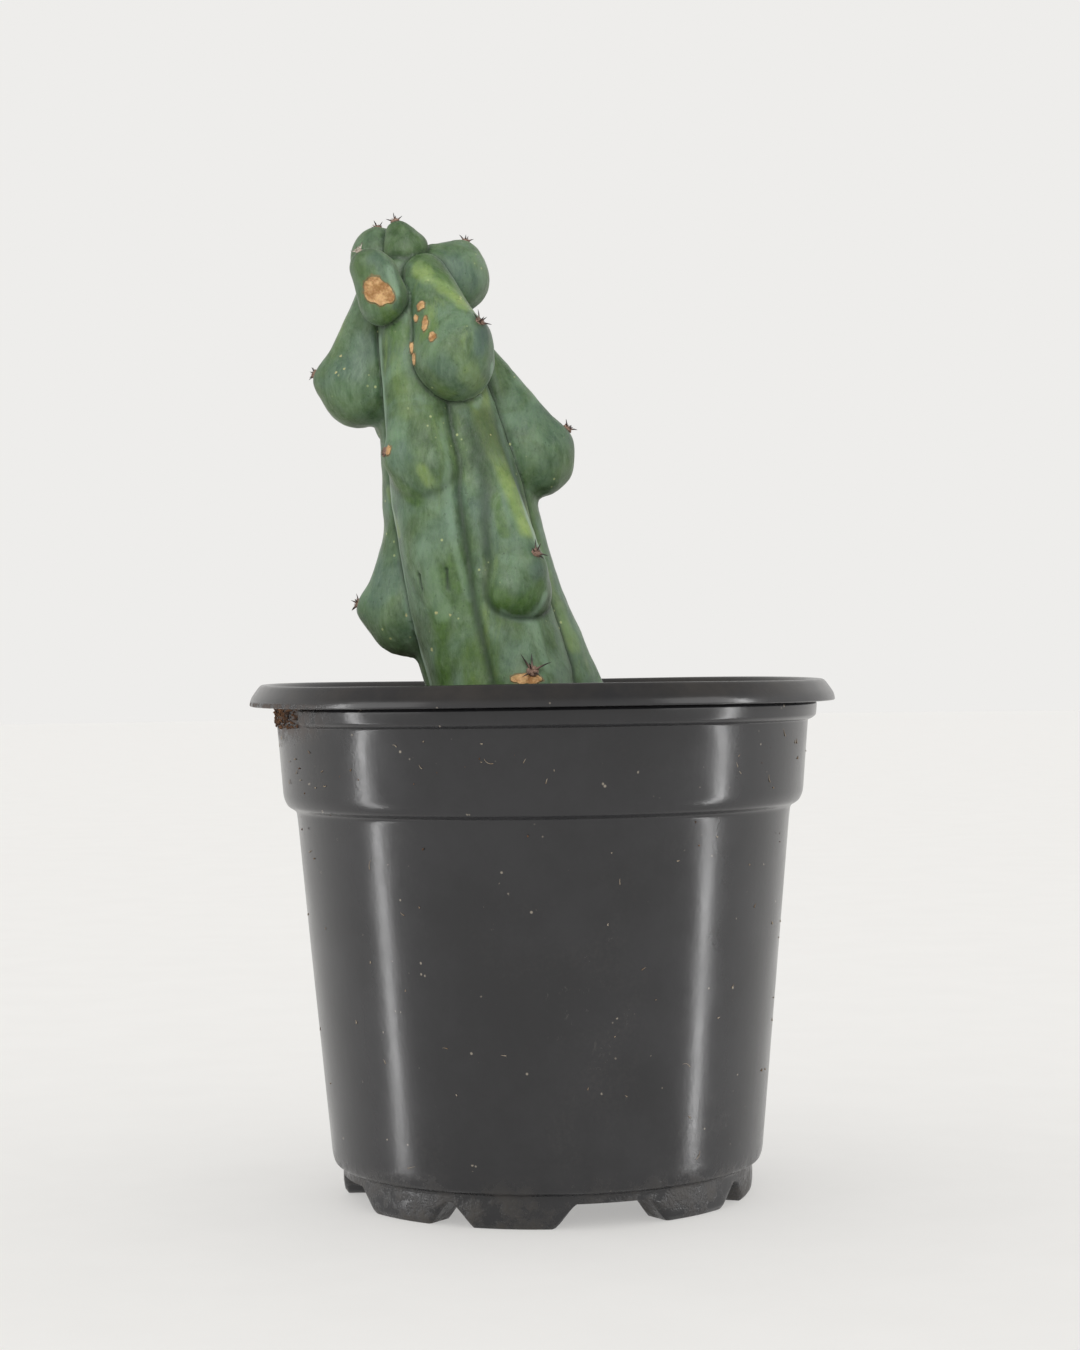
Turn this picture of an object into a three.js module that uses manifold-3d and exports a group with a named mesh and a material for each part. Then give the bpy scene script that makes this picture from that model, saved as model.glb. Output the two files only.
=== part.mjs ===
// A potted boobie cactus: a ribbed stem with swollen tubercles, its spine clusters,
// the potting soil it grows in and a round plastic nursery pot on moulded feet.
// Millimetres, +Z up. The pot's axis is the Z axis and its feet stand on z = 0.
import * as THREE from "three";
import { mergeVertices } from "three/addons/utils/BufferGeometryUtils.js";
import Module from "manifold-3d";

const wasm = await Module();
wasm.setup();
const { Manifold, Mesh: SolidMesh } = wasm;

// Driving dimensions of the pot.
const RIM_RADIUS = 80;
const POT_HEIGHT = 139.5;
const WALL = 1.4;
const FACETS = 48;
const CLEAN_TOLERANCE = 0.02;

// Heights and radii of the pot's outside, from the floor up.
const FLOOR_UNDERSIDE = 6.5;
const FOOT_RING = { radius: 55.9, top: 8.5 };
const BODY = { bottomRadius: 58.6, bottom: 11, topRadius: 67.3, top: 105 };
const COLLAR = { bottomRadius: 70.9, bottom: 108.4, topRadius: 73, top: 134 };
const LIP = { crownRadius: 76, edgeHeight: 134.2, edgeThickness: 1.3 };
const BEAD = { bottom: 128.8, top: 133.9, proud: 2.2, startDeg: -60, endDeg: 215 };

// Feet: eight wedges in four pairs, with narrow slots inside a pair and wide gaps between pairs.
const FOOT = { depth: 9.5, inner: 45, topHalfDeg: 16.6, bottomHalfDeg: 11.5, cornerRadius: 2.4 };
const FOOT_CENTRES_DEG = [0, 90, 180, 270].flatMap((quarter) => [quarter - 9.6, quarter - 45]);
const DRAIN = { radius: 4.5, ring: 36, directionsDeg: [18, 108, 198, 288] };

// Soil and the gap that keeps touching solids apart.
const SOIL_TOP = 124;
const SOIL_CROWN = 1.6;
const GAP = 0.4;
const SOCKET_GAP = 0.9;

// The stem's leaning axis: [height, x] pairs, bottom to top.
const AXIS = [
  [96, -1],
  [124, -5],
  [139, -8],
  [161, -15.5],
  [189, -22],
  [216, -27.5],
  [244, -33],
  [262, -37],
];
// Half-width of the fluted column along the axis: [height, radius].
const COLUMN = [
  [102, 17],
  [116, 22],
  [139, 24.5],
  [161, 22.5],
  [189, 20.5],
  [216, 16.5],
  [240, 12],
  [252, 8],
];
const RIB_TURNS = [-90, -28, 28, 84, 150, -150];

// Tubercles, named after the rib they swell on. A turn is degrees round the axis from the front
// towards +X, a reach is millimetres out from the axis. A ridge runs from top to belly, and the
// nipple carries the areole.
const TUBERCLES = [
  { name: "left_upper", belly: [-90, 220, 20.5, 9.6], top: [-90, 246, 8, 7], areole: [-90, 224, 30] },
  {
    name: "left_lower",
    belly: [-90, 157.4, 23, 9.4],
    top: [-90, 186, 11.5, 7.6],
    areole: [-90, 161.2, 33],
  },
  {
    name: "front_left_crown",
    belly: [-31, 242.8, 15.8, 5.6],
    top: [-30, 249.4, 15.5, 5.2],
    areole: [-32, 254.4, 19.5],
  },
  {
    name: "front_left_middle",
    belly: [-25, 196.5, 17.5, 8.8],
    top: [-22, 237, 9.2, 7.2],
    areole: [-37, 201.3, 26],
  },
  {
    name: "front_right_upper",
    belly: [26, 226, 17.6, 10.2],
    top: [38, 249.4, 6.2, 6.8],
    areole: [36, 234.6, 26.6],
  },
  {
    name: "front_right_middle",
    belly: [28, 163.4, 19, 9.4],
    top: [37, 209, 11.2, 8.4],
    areole: [36, 172.9, 29],
  },
  {
    name: "front_right_lower",
    belly: [14, 131.5, 18, 9],
    top: [14, 152, 13.5, 8.8],
    areole: [15, 141, 27],
  },
  {
    name: "right_upper",
    belly: [112, 250.4, 13, 8.7],
    top: [120, 253, 2.5, 6],
    areole: [113, 260.2, 18.6],
  },
  {
    name: "right_middle",
    belly: [90, 199.9, 23.8, 9.3],
    top: [90, 232, 8.4, 7.2],
    areole: [90, 208, 33.2],
  },
  { name: "right_lower", belly: [84, 129, 17, 8.8], top: [84, 158, 11, 9.2], areole: [84, 135, 27.5] },
  { name: "crown", belly: [20, 257, 1.2, 5.4], top: [180, 253, 2, 5.3], areole: [180, 265, 1] },
  {
    name: "back_left_crown",
    belly: [-120, 256.2, 9.2, 6.3],
    top: [-130, 251.5, 5, 5.5],
    areole: [-128, 263.8, 9],
  },
  {
    name: "back_right_upper",
    belly: [150, 232, 16, 9.8],
    top: [155, 250, 4.5, 6.5],
    areole: [150, 238, 26.5],
  },
  {
    name: "back_right_middle",
    belly: [150, 181, 20, 9.9],
    top: [150, 214, 10, 8],
    areole: [150, 187, 30.5],
  },
  {
    name: "back_right_lower",
    belly: [150, 138, 19, 9.5],
    top: [150, 162, 12.5, 9],
    areole: [150, 143, 29],
  },
  {
    name: "back_left_upper",
    belly: [-150, 214, 17.5, 9.5],
    top: [-150, 243, 6.5, 7],
    areole: [-150, 219, 27.5],
  },
  {
    name: "back_left_lower",
    belly: [-150, 166, 20, 9.9],
    top: [-150, 197, 11, 8],
    areole: [-150, 171, 30.5],
  },
];
const SKIN_TOLERANCE = 0.1;
const SKIN_CELL = 3.2;
const SOCKET_CELL = 4.4;
const LOBE_BLEND = 5;
const CREASE_BLEND = 1.7;
const NIPPLE_RADIUS = 1.7;
const SPINES_PER_AREOLE = 4;

// ---------- helpers ----------

const radians = THREE.MathUtils.degToRad;

// A surface as a closed solid.
function solidOf(geometry) {
  const bare = geometry.index ? geometry.toNonIndexed() : geometry;
  const positions = new THREE.BufferGeometry().setAttribute("position", bare.getAttribute("position"));
  const merged = mergeVertices(positions, 1e-3);
  const mesh = new SolidMesh({
    numProp: 3,
    vertProperties: merged.attributes.position.array,
    triVerts: new Uint32Array(merged.index.array),
  });
  return new Manifold(mesh);
}

// A closed solid as a named piece.
function meshOf(name, solid, material) {
  const { numProp, vertProperties, triVerts } = solid.getMesh();
  const positions = [];
  for (let i = 0; i < vertProperties.length; i += numProp) {
    positions.push(vertProperties[i], vertProperties[i + 1], vertProperties[i + 2]);
  }
  const geometry = new THREE.BufferGeometry()
    .setAttribute("position", new THREE.Float32BufferAttribute(positions, 3))
    .setIndex(Array.from(triVerts));
  geometry.computeVertexNormals();
  const mesh = new THREE.Mesh(geometry, material);
  mesh.name = name;
  return mesh;
}

// A solid of revolution about Z from [radius, height] points that run from the axis round to it.
function turned(points, facets = FACETS) {
  const profile = points.map(([radius, height]) => new THREE.Vector2(radius, height));
  return solidOf(new THREE.LatheGeometry(profile, facets).rotateX(Math.PI / 2));
}

// A value read off a list of [height, value] pairs, straight between them.
function alongHeight(pairs, height) {
  if (height <= pairs[0][0]) return pairs[0][1];
  for (let i = 1; i < pairs.length; i += 1) {
    const [lowHeight, lowValue] = pairs[i - 1];
    const [highHeight, highValue] = pairs[i];
    if (height <= highHeight) {
      const share = (height - lowHeight) / (highHeight - lowHeight);
      return lowValue + share * (highValue - lowValue);
    }
  }
  return pairs[pairs.length - 1][1];
}

// A point beside the stem's axis: a turn in degrees, a height and a reach out from the axis.
function beside([turn, height, reach]) {
  const angle = radians(turn);
  const x = alongHeight(AXIS, height) + reach * Math.sin(angle);
  return new THREE.Vector3(x, -reach * Math.cos(angle), height);
}

// ---------- the stem's distance field ----------

// Distance to a cone with round ends, from a (radius ra) to b (radius rb); negative inside.
function roundCone(a, ra, b, rb) {
  const along = new THREE.Vector3().subVectors(b, a);
  const lengthSquared = along.lengthSq();
  const taper = ra - rb;
  const flat = lengthSquared - taper * taper;
  const offset = new THREE.Vector3();
  return (point) => {
    offset.subVectors(point, a);
    const y = offset.dot(along);
    const z = y - lengthSquared;
    const scaled = offset.multiplyScalar(lengthSquared).addScaledVector(along, -y);
    const x2 = scaled.lengthSq();
    const y2 = y * y * lengthSquared;
    const z2 = z * z * lengthSquared;
    const k = Math.sign(taper) * taper * taper * x2;
    if (Math.sign(z) * flat * z2 > k) return Math.sqrt(x2 + z2) / lengthSquared - rb;
    if (Math.sign(y) * flat * y2 < k) return Math.sqrt(x2 + y2) / lengthSquared - ra;
    return (Math.sqrt((x2 * flat) / lengthSquared) + y * taper) / lengthSquared - ra;
  };
}

function smoothMin(a, b, blend) {
  const h = Math.max(blend - Math.abs(a - b), 0) / blend;
  return Math.min(a, b) - (h * h * blend) / 4;
}

// The fluted column: one tapering strand under each rib, round a core that follows the axis.
function columnStrands() {
  const strands = [];
  for (let i = 1; i < COLUMN.length; i += 1) {
    const [low, lowRadius] = COLUMN[i - 1];
    const [high, highRadius] = COLUMN[i];
    const core = [0, 0].map((turn, end) => beside([turn, end ? high : low, 0]));
    strands.push({ core: true, field: roundCone(core[0], lowRadius * 0.7, core[1], highRadius * 0.7) });
    for (const turn of RIB_TURNS) {
      const from = beside([turn, low, lowRadius * 0.52]);
      const to = beside([turn, high, highRadius * 0.52]);
      strands.push({ turn, field: roundCone(from, lowRadius * 0.46, to, highRadius * 0.46) });
    }
  }
  return strands;
}

// One tubercle: a ridge that swells to the belly, a root that ties it to the axis, and the nipple.
function tubercleField({ belly, top, areole }) {
  const [turn, height, , girth] = belly;
  const bellyCentre = beside(belly);
  const ridge = roundCone(beside(top), top[3], bellyCentre, girth);
  const rootStart = beside([turn, height - 2, 2]);
  const root = roundCone(rootStart, girth * 0.75, bellyCentre, girth * 0.86);
  const nipple = roundCone(bellyCentre, girth * 0.72, beside(areole), NIPPLE_RADIUS);
  return (point) => {
    const swell = smoothMin(ridge(point), root(point), LOBE_BLEND);
    return smoothMin(swell, nipple(point), LOBE_BLEND * 1.4);
  };
}

const strands = columnStrands();
const tubercles = TUBERCLES.map(tubercleField);

// Distance to the stem's skin, negative inside.
function stemDistance(point) {
  let distance = Infinity;
  for (const turn of RIB_TURNS) {
    let rib = Infinity;
    for (const strand of strands) {
      if (strand.turn === turn) rib = Math.min(rib, strand.field(point));
    }
    distance = smoothMin(distance, rib, CREASE_BLEND);
  }
  for (const strand of strands) {
    if (strand.core) distance = smoothMin(distance, strand.field(point), CREASE_BLEND);
  }
  for (const tubercle of tubercles) {
    distance = smoothMin(distance, tubercle(point), CREASE_BLEND);
  }
  return distance;
}

const CELL_CORNERS = [0, 1, 2, 3, 4, 5, 6, 7].map((bits) => [bits & 1, (bits >> 1) & 1, bits >> 2]);

// How many separate clumps a cell's corners make, counting those on one side of the skin.
function clumps(corners) {
  const left = new Set(corners);
  let count = 0;
  while (left.size) {
    count += 1;
    const queue = [left.values().next().value];
    left.delete(queue[0]);
    while (queue.length) {
      const corner = queue.pop();
      for (const bit of [1, 2, 4]) {
        if (left.delete(corner ^ bit)) queue.push(corner ^ bit);
      }
    }
  }
  return count;
}

// Fills grid points where two lobes would touch only along an edge or at a corner.
function fillPinches(values, [nx, ny, nz], at, cell) {
  let filled = true;
  while (filled) {
    filled = false;
    for (let k = 0; k < nz - 1; k += 1) {
      for (let j = 0; j < ny - 1; j += 1) {
        for (let i = 0; i < nx - 1; i += 1) {
          const points = CELL_CORNERS.map(([a, b, c]) => at(i + a, j + b, k + c));
          const bits = [0, 1, 2, 3, 4, 5, 6, 7];
          const outside = bits.filter((bit) => values[points[bit]] >= 0);
          const inside = bits.filter((bit) => values[points[bit]] < 0);
          if (!outside.length || !inside.length) continue;
          if (clumps(outside) === 1 && clumps(inside) === 1) continue;
          const nearest = outside.reduce((a, b) => (values[points[a]] < values[points[b]] ? a : b));
          values[points[nearest]] = -0.05 * cell;
          filled = true;
        }
      }
    }
  }
}

// The closed surface at a set distance outside the skin, from one height up, as surface nets:
// one vertex in each grid cell that the surface passes through, one quad across each grid edge.
function stemSolid(outside, low, high, cell) {
  const origin = new THREE.Vector3(-70, -42, low);
  const size = [34 - origin.x, 42 - origin.y, high - low].map((span) => Math.ceil(span / cell) + 1);
  const [nx, ny, nz] = size;
  const at = (i, j, k) => i + nx * (j + ny * k);
  const values = new Float64Array(nx * ny * nz);
  const point = new THREE.Vector3();
  for (let k = 0; k < nz; k += 1) {
    for (let j = 0; j < ny; j += 1) {
      for (let i = 0; i < nx; i += 1) {
        point.set(i, j, k).multiplyScalar(cell).add(origin);
        values[at(i, j, k)] = k === nz - 1 ? cell : stemDistance(point) - outside;
      }
    }
  }
  fillPinches(values, size, at, cell);
  const steps = [[1, 0, 0], [0, 1, 0], [0, 0, 1]];
  const positions = [];
  const vertexOf = new Map();
  for (let k = 0; k < nz - 1; k += 1) {
    for (let j = 0; j < ny - 1; j += 1) {
      for (let i = 0; i < nx - 1; i += 1) {
        const crossing = new THREE.Vector3();
        let crossings = 0;
        for (const corner of CELL_CORNERS) {
          const from = values[at(i + corner[0], j + corner[1], k + corner[2])];
          for (const step of steps) {
            const end = corner.map((c, axis) => c + step[axis]);
            if (Math.max(...end) > 1) continue;
            const to = values[at(i + end[0], j + end[1], k + end[2])];
            if (from < 0 === to < 0) continue;
            const share = from / (from - to);
            crossing.add(point.fromArray(corner.map((c, axis) => c + share * step[axis])));
            crossings += 1;
          }
        }
        if (!crossings) continue;
        crossing.divideScalar(crossings).add(point.set(i, j, k)).multiplyScalar(cell).add(origin);
        vertexOf.set(at(i, j, k), positions.length / 3);
        positions.push(crossing.x, crossing.y, crossing.z);
      }
    }
  }
  const triangles = [];
  for (let k = 1; k < nz - 1; k += 1) {
    for (let j = 1; j < ny - 1; j += 1) {
      for (let i = 1; i < nx - 1; i += 1) {
        const inside = values[at(i, j, k)] < 0;
        steps.forEach((step, axis) => {
          const endInside = values[at(i + step[0], j + step[1], k + step[2])] < 0;
          if (inside === endInside) return;
          const u = steps[(axis + 1) % 3];
          const v = steps[(axis + 2) % 3];
          const around = [[1, 1], [0, 1], [0, 0], [1, 0]].map(([a, b]) =>
            vertexOf.get(at(i - a * u[0] - b * v[0], j - a * u[1] - b * v[1], k - a * u[2] - b * v[2])),
          );
          const [p, q, r, t] = inside ? around : [...around].reverse();
          triangles.push(p, q, r, p, r, t);
        });
      }
    }
  }
  const mesh = new SolidMesh({
    numProp: 3,
    vertProperties: new Float32Array(positions),
    triVerts: new Uint32Array(triangles),
  });
  const solid = new Manifold(mesh);
  return solid.simplify(SKIN_TOLERANCE);
}

// ---------- pieces ----------

// One wedge-shaped foot, shrunk by inset on every side, standing at a turn round the pot.
function footWedge(turnDeg, inset) {
  const outer = FOOT_RING.radius;
  const top = FLOOR_UNDERSIDE + (inset > 0 ? 2 : 0.5) * WALL;
  const halfTop = outer * Math.tan(radians(FOOT.topHalfDeg)) - inset;
  const halfBottom = outer * Math.tan(radians(FOOT.bottomHalfDeg)) - inset;
  const corner = Math.max(FOOT.cornerRadius - inset, 0.6);
  const side = new THREE.Shape()
    .moveTo(-halfTop, top)
    .lineTo(-halfBottom - 0.5, inset + corner)
    .quadraticCurveTo(-halfBottom, inset, -halfBottom + corner, inset)
    .lineTo(halfBottom - corner, inset)
    .quadraticCurveTo(halfBottom, inset, halfBottom + 0.5, inset + corner)
    .lineTo(halfTop, top)
    .closePath();
  const wedge = new THREE.ExtrudeGeometry(side, { depth: 40, bevelEnabled: false, curveSegments: 4 })
    .rotateX(Math.PI / 2)
    .translate(0, -30, 0);
  const corners = wedge.getAttribute("position");
  for (let i = 0; i < corners.count; i += 1) {
    corners.setX(i, (corners.getX(i) * -corners.getY(i)) / outer); // sides run towards the axis
  }
  wedge.rotateZ(radians(turnDeg));
  const ring = turned([
    [0, top],
    [0, inset],
    [outer - 1.6 - inset, inset],
    [outer - inset, top],
    [0, top],
  ]);
  const bore = turned([
    [0, -1],
    [FOOT.inner + inset + 1.5, -1],
    [FOOT.inner + inset, top + 1],
    [0, top + 1],
    [0, -1],
  ]);
  return solidOf(wedge).intersect(ring).subtract(bore);
}

// The stacking bead under the lip, which stops short of going all the way round.
function bead() {
  const radiusAt = (height) => {
    const share = (height - COLLAR.bottom) / (COLLAR.top - COLLAR.bottom);
    return COLLAR.bottomRadius + share * (COLLAR.topRadius - COLLAR.bottomRadius);
  };
  const outer = radiusAt(BEAD.top) + BEAD.proud;
  const inner = radiusAt(BEAD.bottom) - WALL / 2;
  const ring = turned([
    [0, BEAD.bottom],
    [outer - 0.9, BEAD.bottom],
    [outer, BEAD.bottom + 0.8],
    [outer, BEAD.top + 0.4],
    [0, BEAD.top + 0.4],
    [0, BEAD.bottom],
  ]).subtract(Manifold.cylinder(20, inner, inner, FACETS).translate([0, 0, BEAD.bottom - 5]));
  const gapSector = new THREE.Shape().moveTo(0, 0);
  const steps = 8;
  for (let i = 0; i <= steps; i += 1) {
    const turn = radians(BEAD.endDeg + (i / steps) * (360 + BEAD.startDeg - BEAD.endDeg));
    gapSector.lineTo(120 * Math.sin(turn), -120 * Math.cos(turn));
  }
  const cutter = new THREE.ExtrudeGeometry(gapSector.closePath(), { depth: 20, bevelEnabled: false })
    .translate(0, 0, BEAD.bottom - 5);
  return ring.subtract(solidOf(cutter));
}

function potShell() {
  const outside = turned([
    [0, FLOOR_UNDERSIDE],
    [FOOT_RING.radius - 0.5, FLOOR_UNDERSIDE],
    [FOOT_RING.radius, FOOT_RING.top],
    [BODY.bottomRadius - 0.6, BODY.bottom - 1.6],
    [BODY.bottomRadius, BODY.bottom],
    [BODY.topRadius, BODY.top],
    [COLLAR.bottomRadius - 0.7, COLLAR.bottom - 1.6],
    [COLLAR.bottomRadius, COLLAR.bottom],
    [COLLAR.topRadius, COLLAR.top],
    [LIP.crownRadius - 2.4, POT_HEIGHT - 2.2],
    [RIM_RADIUS - LIP.edgeThickness - 0.4, LIP.edgeHeight - 0.6],
    [RIM_RADIUS, LIP.edgeHeight],
    [LIP.crownRadius + 2.2, POT_HEIGHT - 1.9],
    [LIP.crownRadius + 0.8, POT_HEIGHT - 0.4],
    [LIP.crownRadius - 0.4, POT_HEIGHT],
    [LIP.crownRadius - 1.6, POT_HEIGHT - 0.3],
    [0, POT_HEIGHT - 0.3],
    [0, FLOOR_UNDERSIDE],
  ]);
  let shell = outside.subtract(potCavity(WALL)).add(bead().subtract(potCavity(WALL)));
  for (const turn of FOOT_CENTRES_DEG) {
    shell = shell.add(footWedge(turn, 0)).subtract(footWedge(turn, WALL));
  }
  for (const turn of DRAIN.directionsDeg) {
    const at = [DRAIN.ring * Math.sin(radians(turn)), -DRAIN.ring * Math.cos(radians(turn)), 0];
    shell = shell.subtract(Manifold.cylinder(20, DRAIN.radius, DRAIN.radius, 20).translate(at));
  }
  return shell.subtract(Manifold.cylinder(20, DRAIN.radius, DRAIN.radius, 20)).simplify(CLEAN_TOLERANCE);
}

// The inside of the pot, a set distance in from the outside.
function potCavity(inset, top = POT_HEIGHT + 5) {
  return turned([
    [0, FLOOR_UNDERSIDE + inset],
    [BODY.bottomRadius - inset - 2, FLOOR_UNDERSIDE + inset],
    [BODY.bottomRadius - inset, BODY.bottom + inset],
    [BODY.topRadius - inset, BODY.top + 1],
    [COLLAR.bottomRadius - inset, COLLAR.bottom + 0.8],
    [COLLAR.topRadius - inset, COLLAR.top],
    [LIP.crownRadius - 1.6, POT_HEIGHT - 0.3],
    [LIP.crownRadius - 1.6, top],
    [0, top],
    [0, FLOOR_UNDERSIDE + inset],
  ]);
}

// Soil: fills the pot from its floor up to a slightly domed top, with the stem's socket in it.
function soilPlug() {
  const inset = WALL + GAP;
  const halfWay = BODY.topRadius / 2;
  const top = turned([
    [0, 0],
    [RIM_RADIUS, 0],
    [RIM_RADIUS, SOIL_TOP - 0.6],
    [halfWay * 1.7, SOIL_TOP],
    [halfWay, SOIL_TOP + SOIL_CROWN * 0.7],
    [0, SOIL_TOP + SOIL_CROWN],
    [0, 0],
  ]);
  const plug = potCavity(inset, SOIL_TOP + 20).intersect(top);
  return plug.subtract(stemSolid(SOCKET_GAP, 80, SOIL_TOP + 12, SOCKET_CELL)).simplify(CLEAN_TOLERANCE);
}

// A small felted pad with spines spreading from it, standing on the skin at an areole.
function spineCluster({ belly, areole }, index) {
  const from = beside(belly);
  const outwards = beside(areole).sub(from).normalize();
  const tip = beside(areole).addScaledVector(outwards, -4);
  for (let i = 0; i < 30; i += 1) tip.addScaledVector(outwards, Math.max(stemDistance(tip), -1) * -0.9);
  while (stemDistance(tip) < GAP) tip.addScaledVector(outwards, 0.05);
  const pad = turned([[0, 0], [1.2, 0], [1, 0.6], [0, 0.9], [0, 0]], 8);
  let cluster = pad;
  for (let i = 0; i < SPINES_PER_AREOLE; i += 1) {
    const length = 3.2 - 0.4 * ((i + index) % 3);
    const spine = new THREE.ConeGeometry(0.32, length, 5)
      .translate(0, length / 2, 0)
      .rotateX(Math.PI / 2)
      .rotateX(radians(i ? 48 : 8))
      .rotateZ(radians((i + 0.35 * index) * (360 / (SPINES_PER_AREOLE - 1))))
      .translate(0, 0, 0.3);
    cluster = cluster.add(solidOf(spine).trimByPlane([0, 0, 1], 0.1));
  }
  const turn = new THREE.Quaternion().setFromUnitVectors(new THREE.Vector3(0, 0, 1), outwards);
  const matrix = new THREE.Matrix4().compose(tip, turn, new THREE.Vector3(1, 1, 1));
  return cluster.transform(matrix.toArray());
}

// ---------- the object ----------

const plastic = new THREE.MeshStandardMaterial({ color: 0x2f2f31, roughness: 0.45 });
const soil = new THREE.MeshStandardMaterial({ color: 0x3a2a20, roughness: 1 });
const skin = new THREE.MeshStandardMaterial({ color: 0x4f7a55, roughness: 0.6 });
const spine = new THREE.MeshStandardMaterial({ color: 0x3b2c26, roughness: 0.8 });

const group = new THREE.Group();
group.name = "potted_boobie_cactus";
group.add(meshOf("pot", potShell(), plastic));
group.add(meshOf("soil", soilPlug(), soil));
group.add(meshOf("cactus_stem", stemSolid(0, 82, 274, SKIN_CELL), skin));
TUBERCLES.forEach((tubercle, index) => {
  group.add(meshOf("spines_" + tubercle.name, spineCluster(tubercle, index), spine));
});

export default group;
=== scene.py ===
"""A potted boobie cactus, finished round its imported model: pot, soil, stem, spines and studio."""

import math
import random

import bmesh
import bpy
import numpy as np
import openvdb
from mathutils import Matrix, Quaternion, Vector


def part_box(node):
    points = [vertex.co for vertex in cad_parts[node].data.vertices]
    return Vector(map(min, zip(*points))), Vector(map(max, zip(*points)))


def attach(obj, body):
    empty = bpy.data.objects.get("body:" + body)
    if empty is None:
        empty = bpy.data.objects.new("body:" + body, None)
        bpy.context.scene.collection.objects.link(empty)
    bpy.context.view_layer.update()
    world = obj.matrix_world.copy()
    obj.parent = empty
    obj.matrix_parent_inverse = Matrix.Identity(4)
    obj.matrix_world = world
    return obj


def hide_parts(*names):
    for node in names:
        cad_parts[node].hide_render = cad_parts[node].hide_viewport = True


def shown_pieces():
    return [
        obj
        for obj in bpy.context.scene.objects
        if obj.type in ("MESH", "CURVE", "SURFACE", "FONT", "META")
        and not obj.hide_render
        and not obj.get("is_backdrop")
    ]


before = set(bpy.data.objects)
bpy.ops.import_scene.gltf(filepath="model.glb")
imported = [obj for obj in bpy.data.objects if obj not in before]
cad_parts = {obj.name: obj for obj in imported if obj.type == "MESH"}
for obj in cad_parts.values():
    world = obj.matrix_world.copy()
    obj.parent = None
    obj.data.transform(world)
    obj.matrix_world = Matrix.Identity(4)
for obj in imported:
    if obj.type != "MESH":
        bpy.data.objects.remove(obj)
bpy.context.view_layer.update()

bl_info = {
    "name": "Potted Boobie Cactus",
    "version": (1, 0, 0),
    "blender": (4, 5, 0),
    "location": "3D View > Sidebar > Cactus",
    "description": "Builds a ribbed cactus with swollen tubercles in a footed nursery pot",
    "category": "Add Mesh",
}

MM = 0.001
BODY = "root"

# ---------------------------------------------------------------- the frame's sizes, in millimetres

POT_LOW, POT_HIGH = (np.array(corner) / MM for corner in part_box("pot"))
RIM_RADIUS = (POT_HIGH[0] - POT_LOW[0]) / 2
POT_HEIGHT = POT_HIGH[2]
SOIL_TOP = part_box("soil")[1][2] / MM - 1.6

# ---------------------------------------------------------------- the stem's plan, in millimetres

# The leaning axis: heights and the x of the axis there.
AXIS_HEIGHTS = [96, 124, 139, 161, 189, 216, 244, 262]
AXIS_X = [-1, -5, -8, -15.5, -22, -27.5, -33, -37]

# The fluted column's half-width at heights along it.
COLUMN_HEIGHTS = [102, 116, 139, 161, 189, 216, 240, 252]
COLUMN_RADII = [17, 22, 24.0, 22.5, 21.0, 16.7, 12, 8]
TWIST_HEIGHTS = (142, 210)

# Ribs: the turn from the front low down and high up, then how far out and how fat the strand is as
# shares of the column.
RIBS = {
    "left": (-92, -92, 0.52, 0.46),
    "front_left": (-36, -25, 0.46, 0.64),
    "front_right": (12, 38, 0.46, 0.63),
    "right": (66, 98, 0.52, 0.47),
    "back_right": (138, 155, 0.54, 0.50),
    "back_left": (-150, -150, 0.54, 0.50),
}


def tubercle(rib, belly, top, areole, tip=2.6, merge=1):
    """One tubercle's plan; one that stands by itself has no rib."""
    return {"rib": rib, "belly": belly, "top": top, "areole": areole, "tip": tip, "merge": merge}


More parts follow.
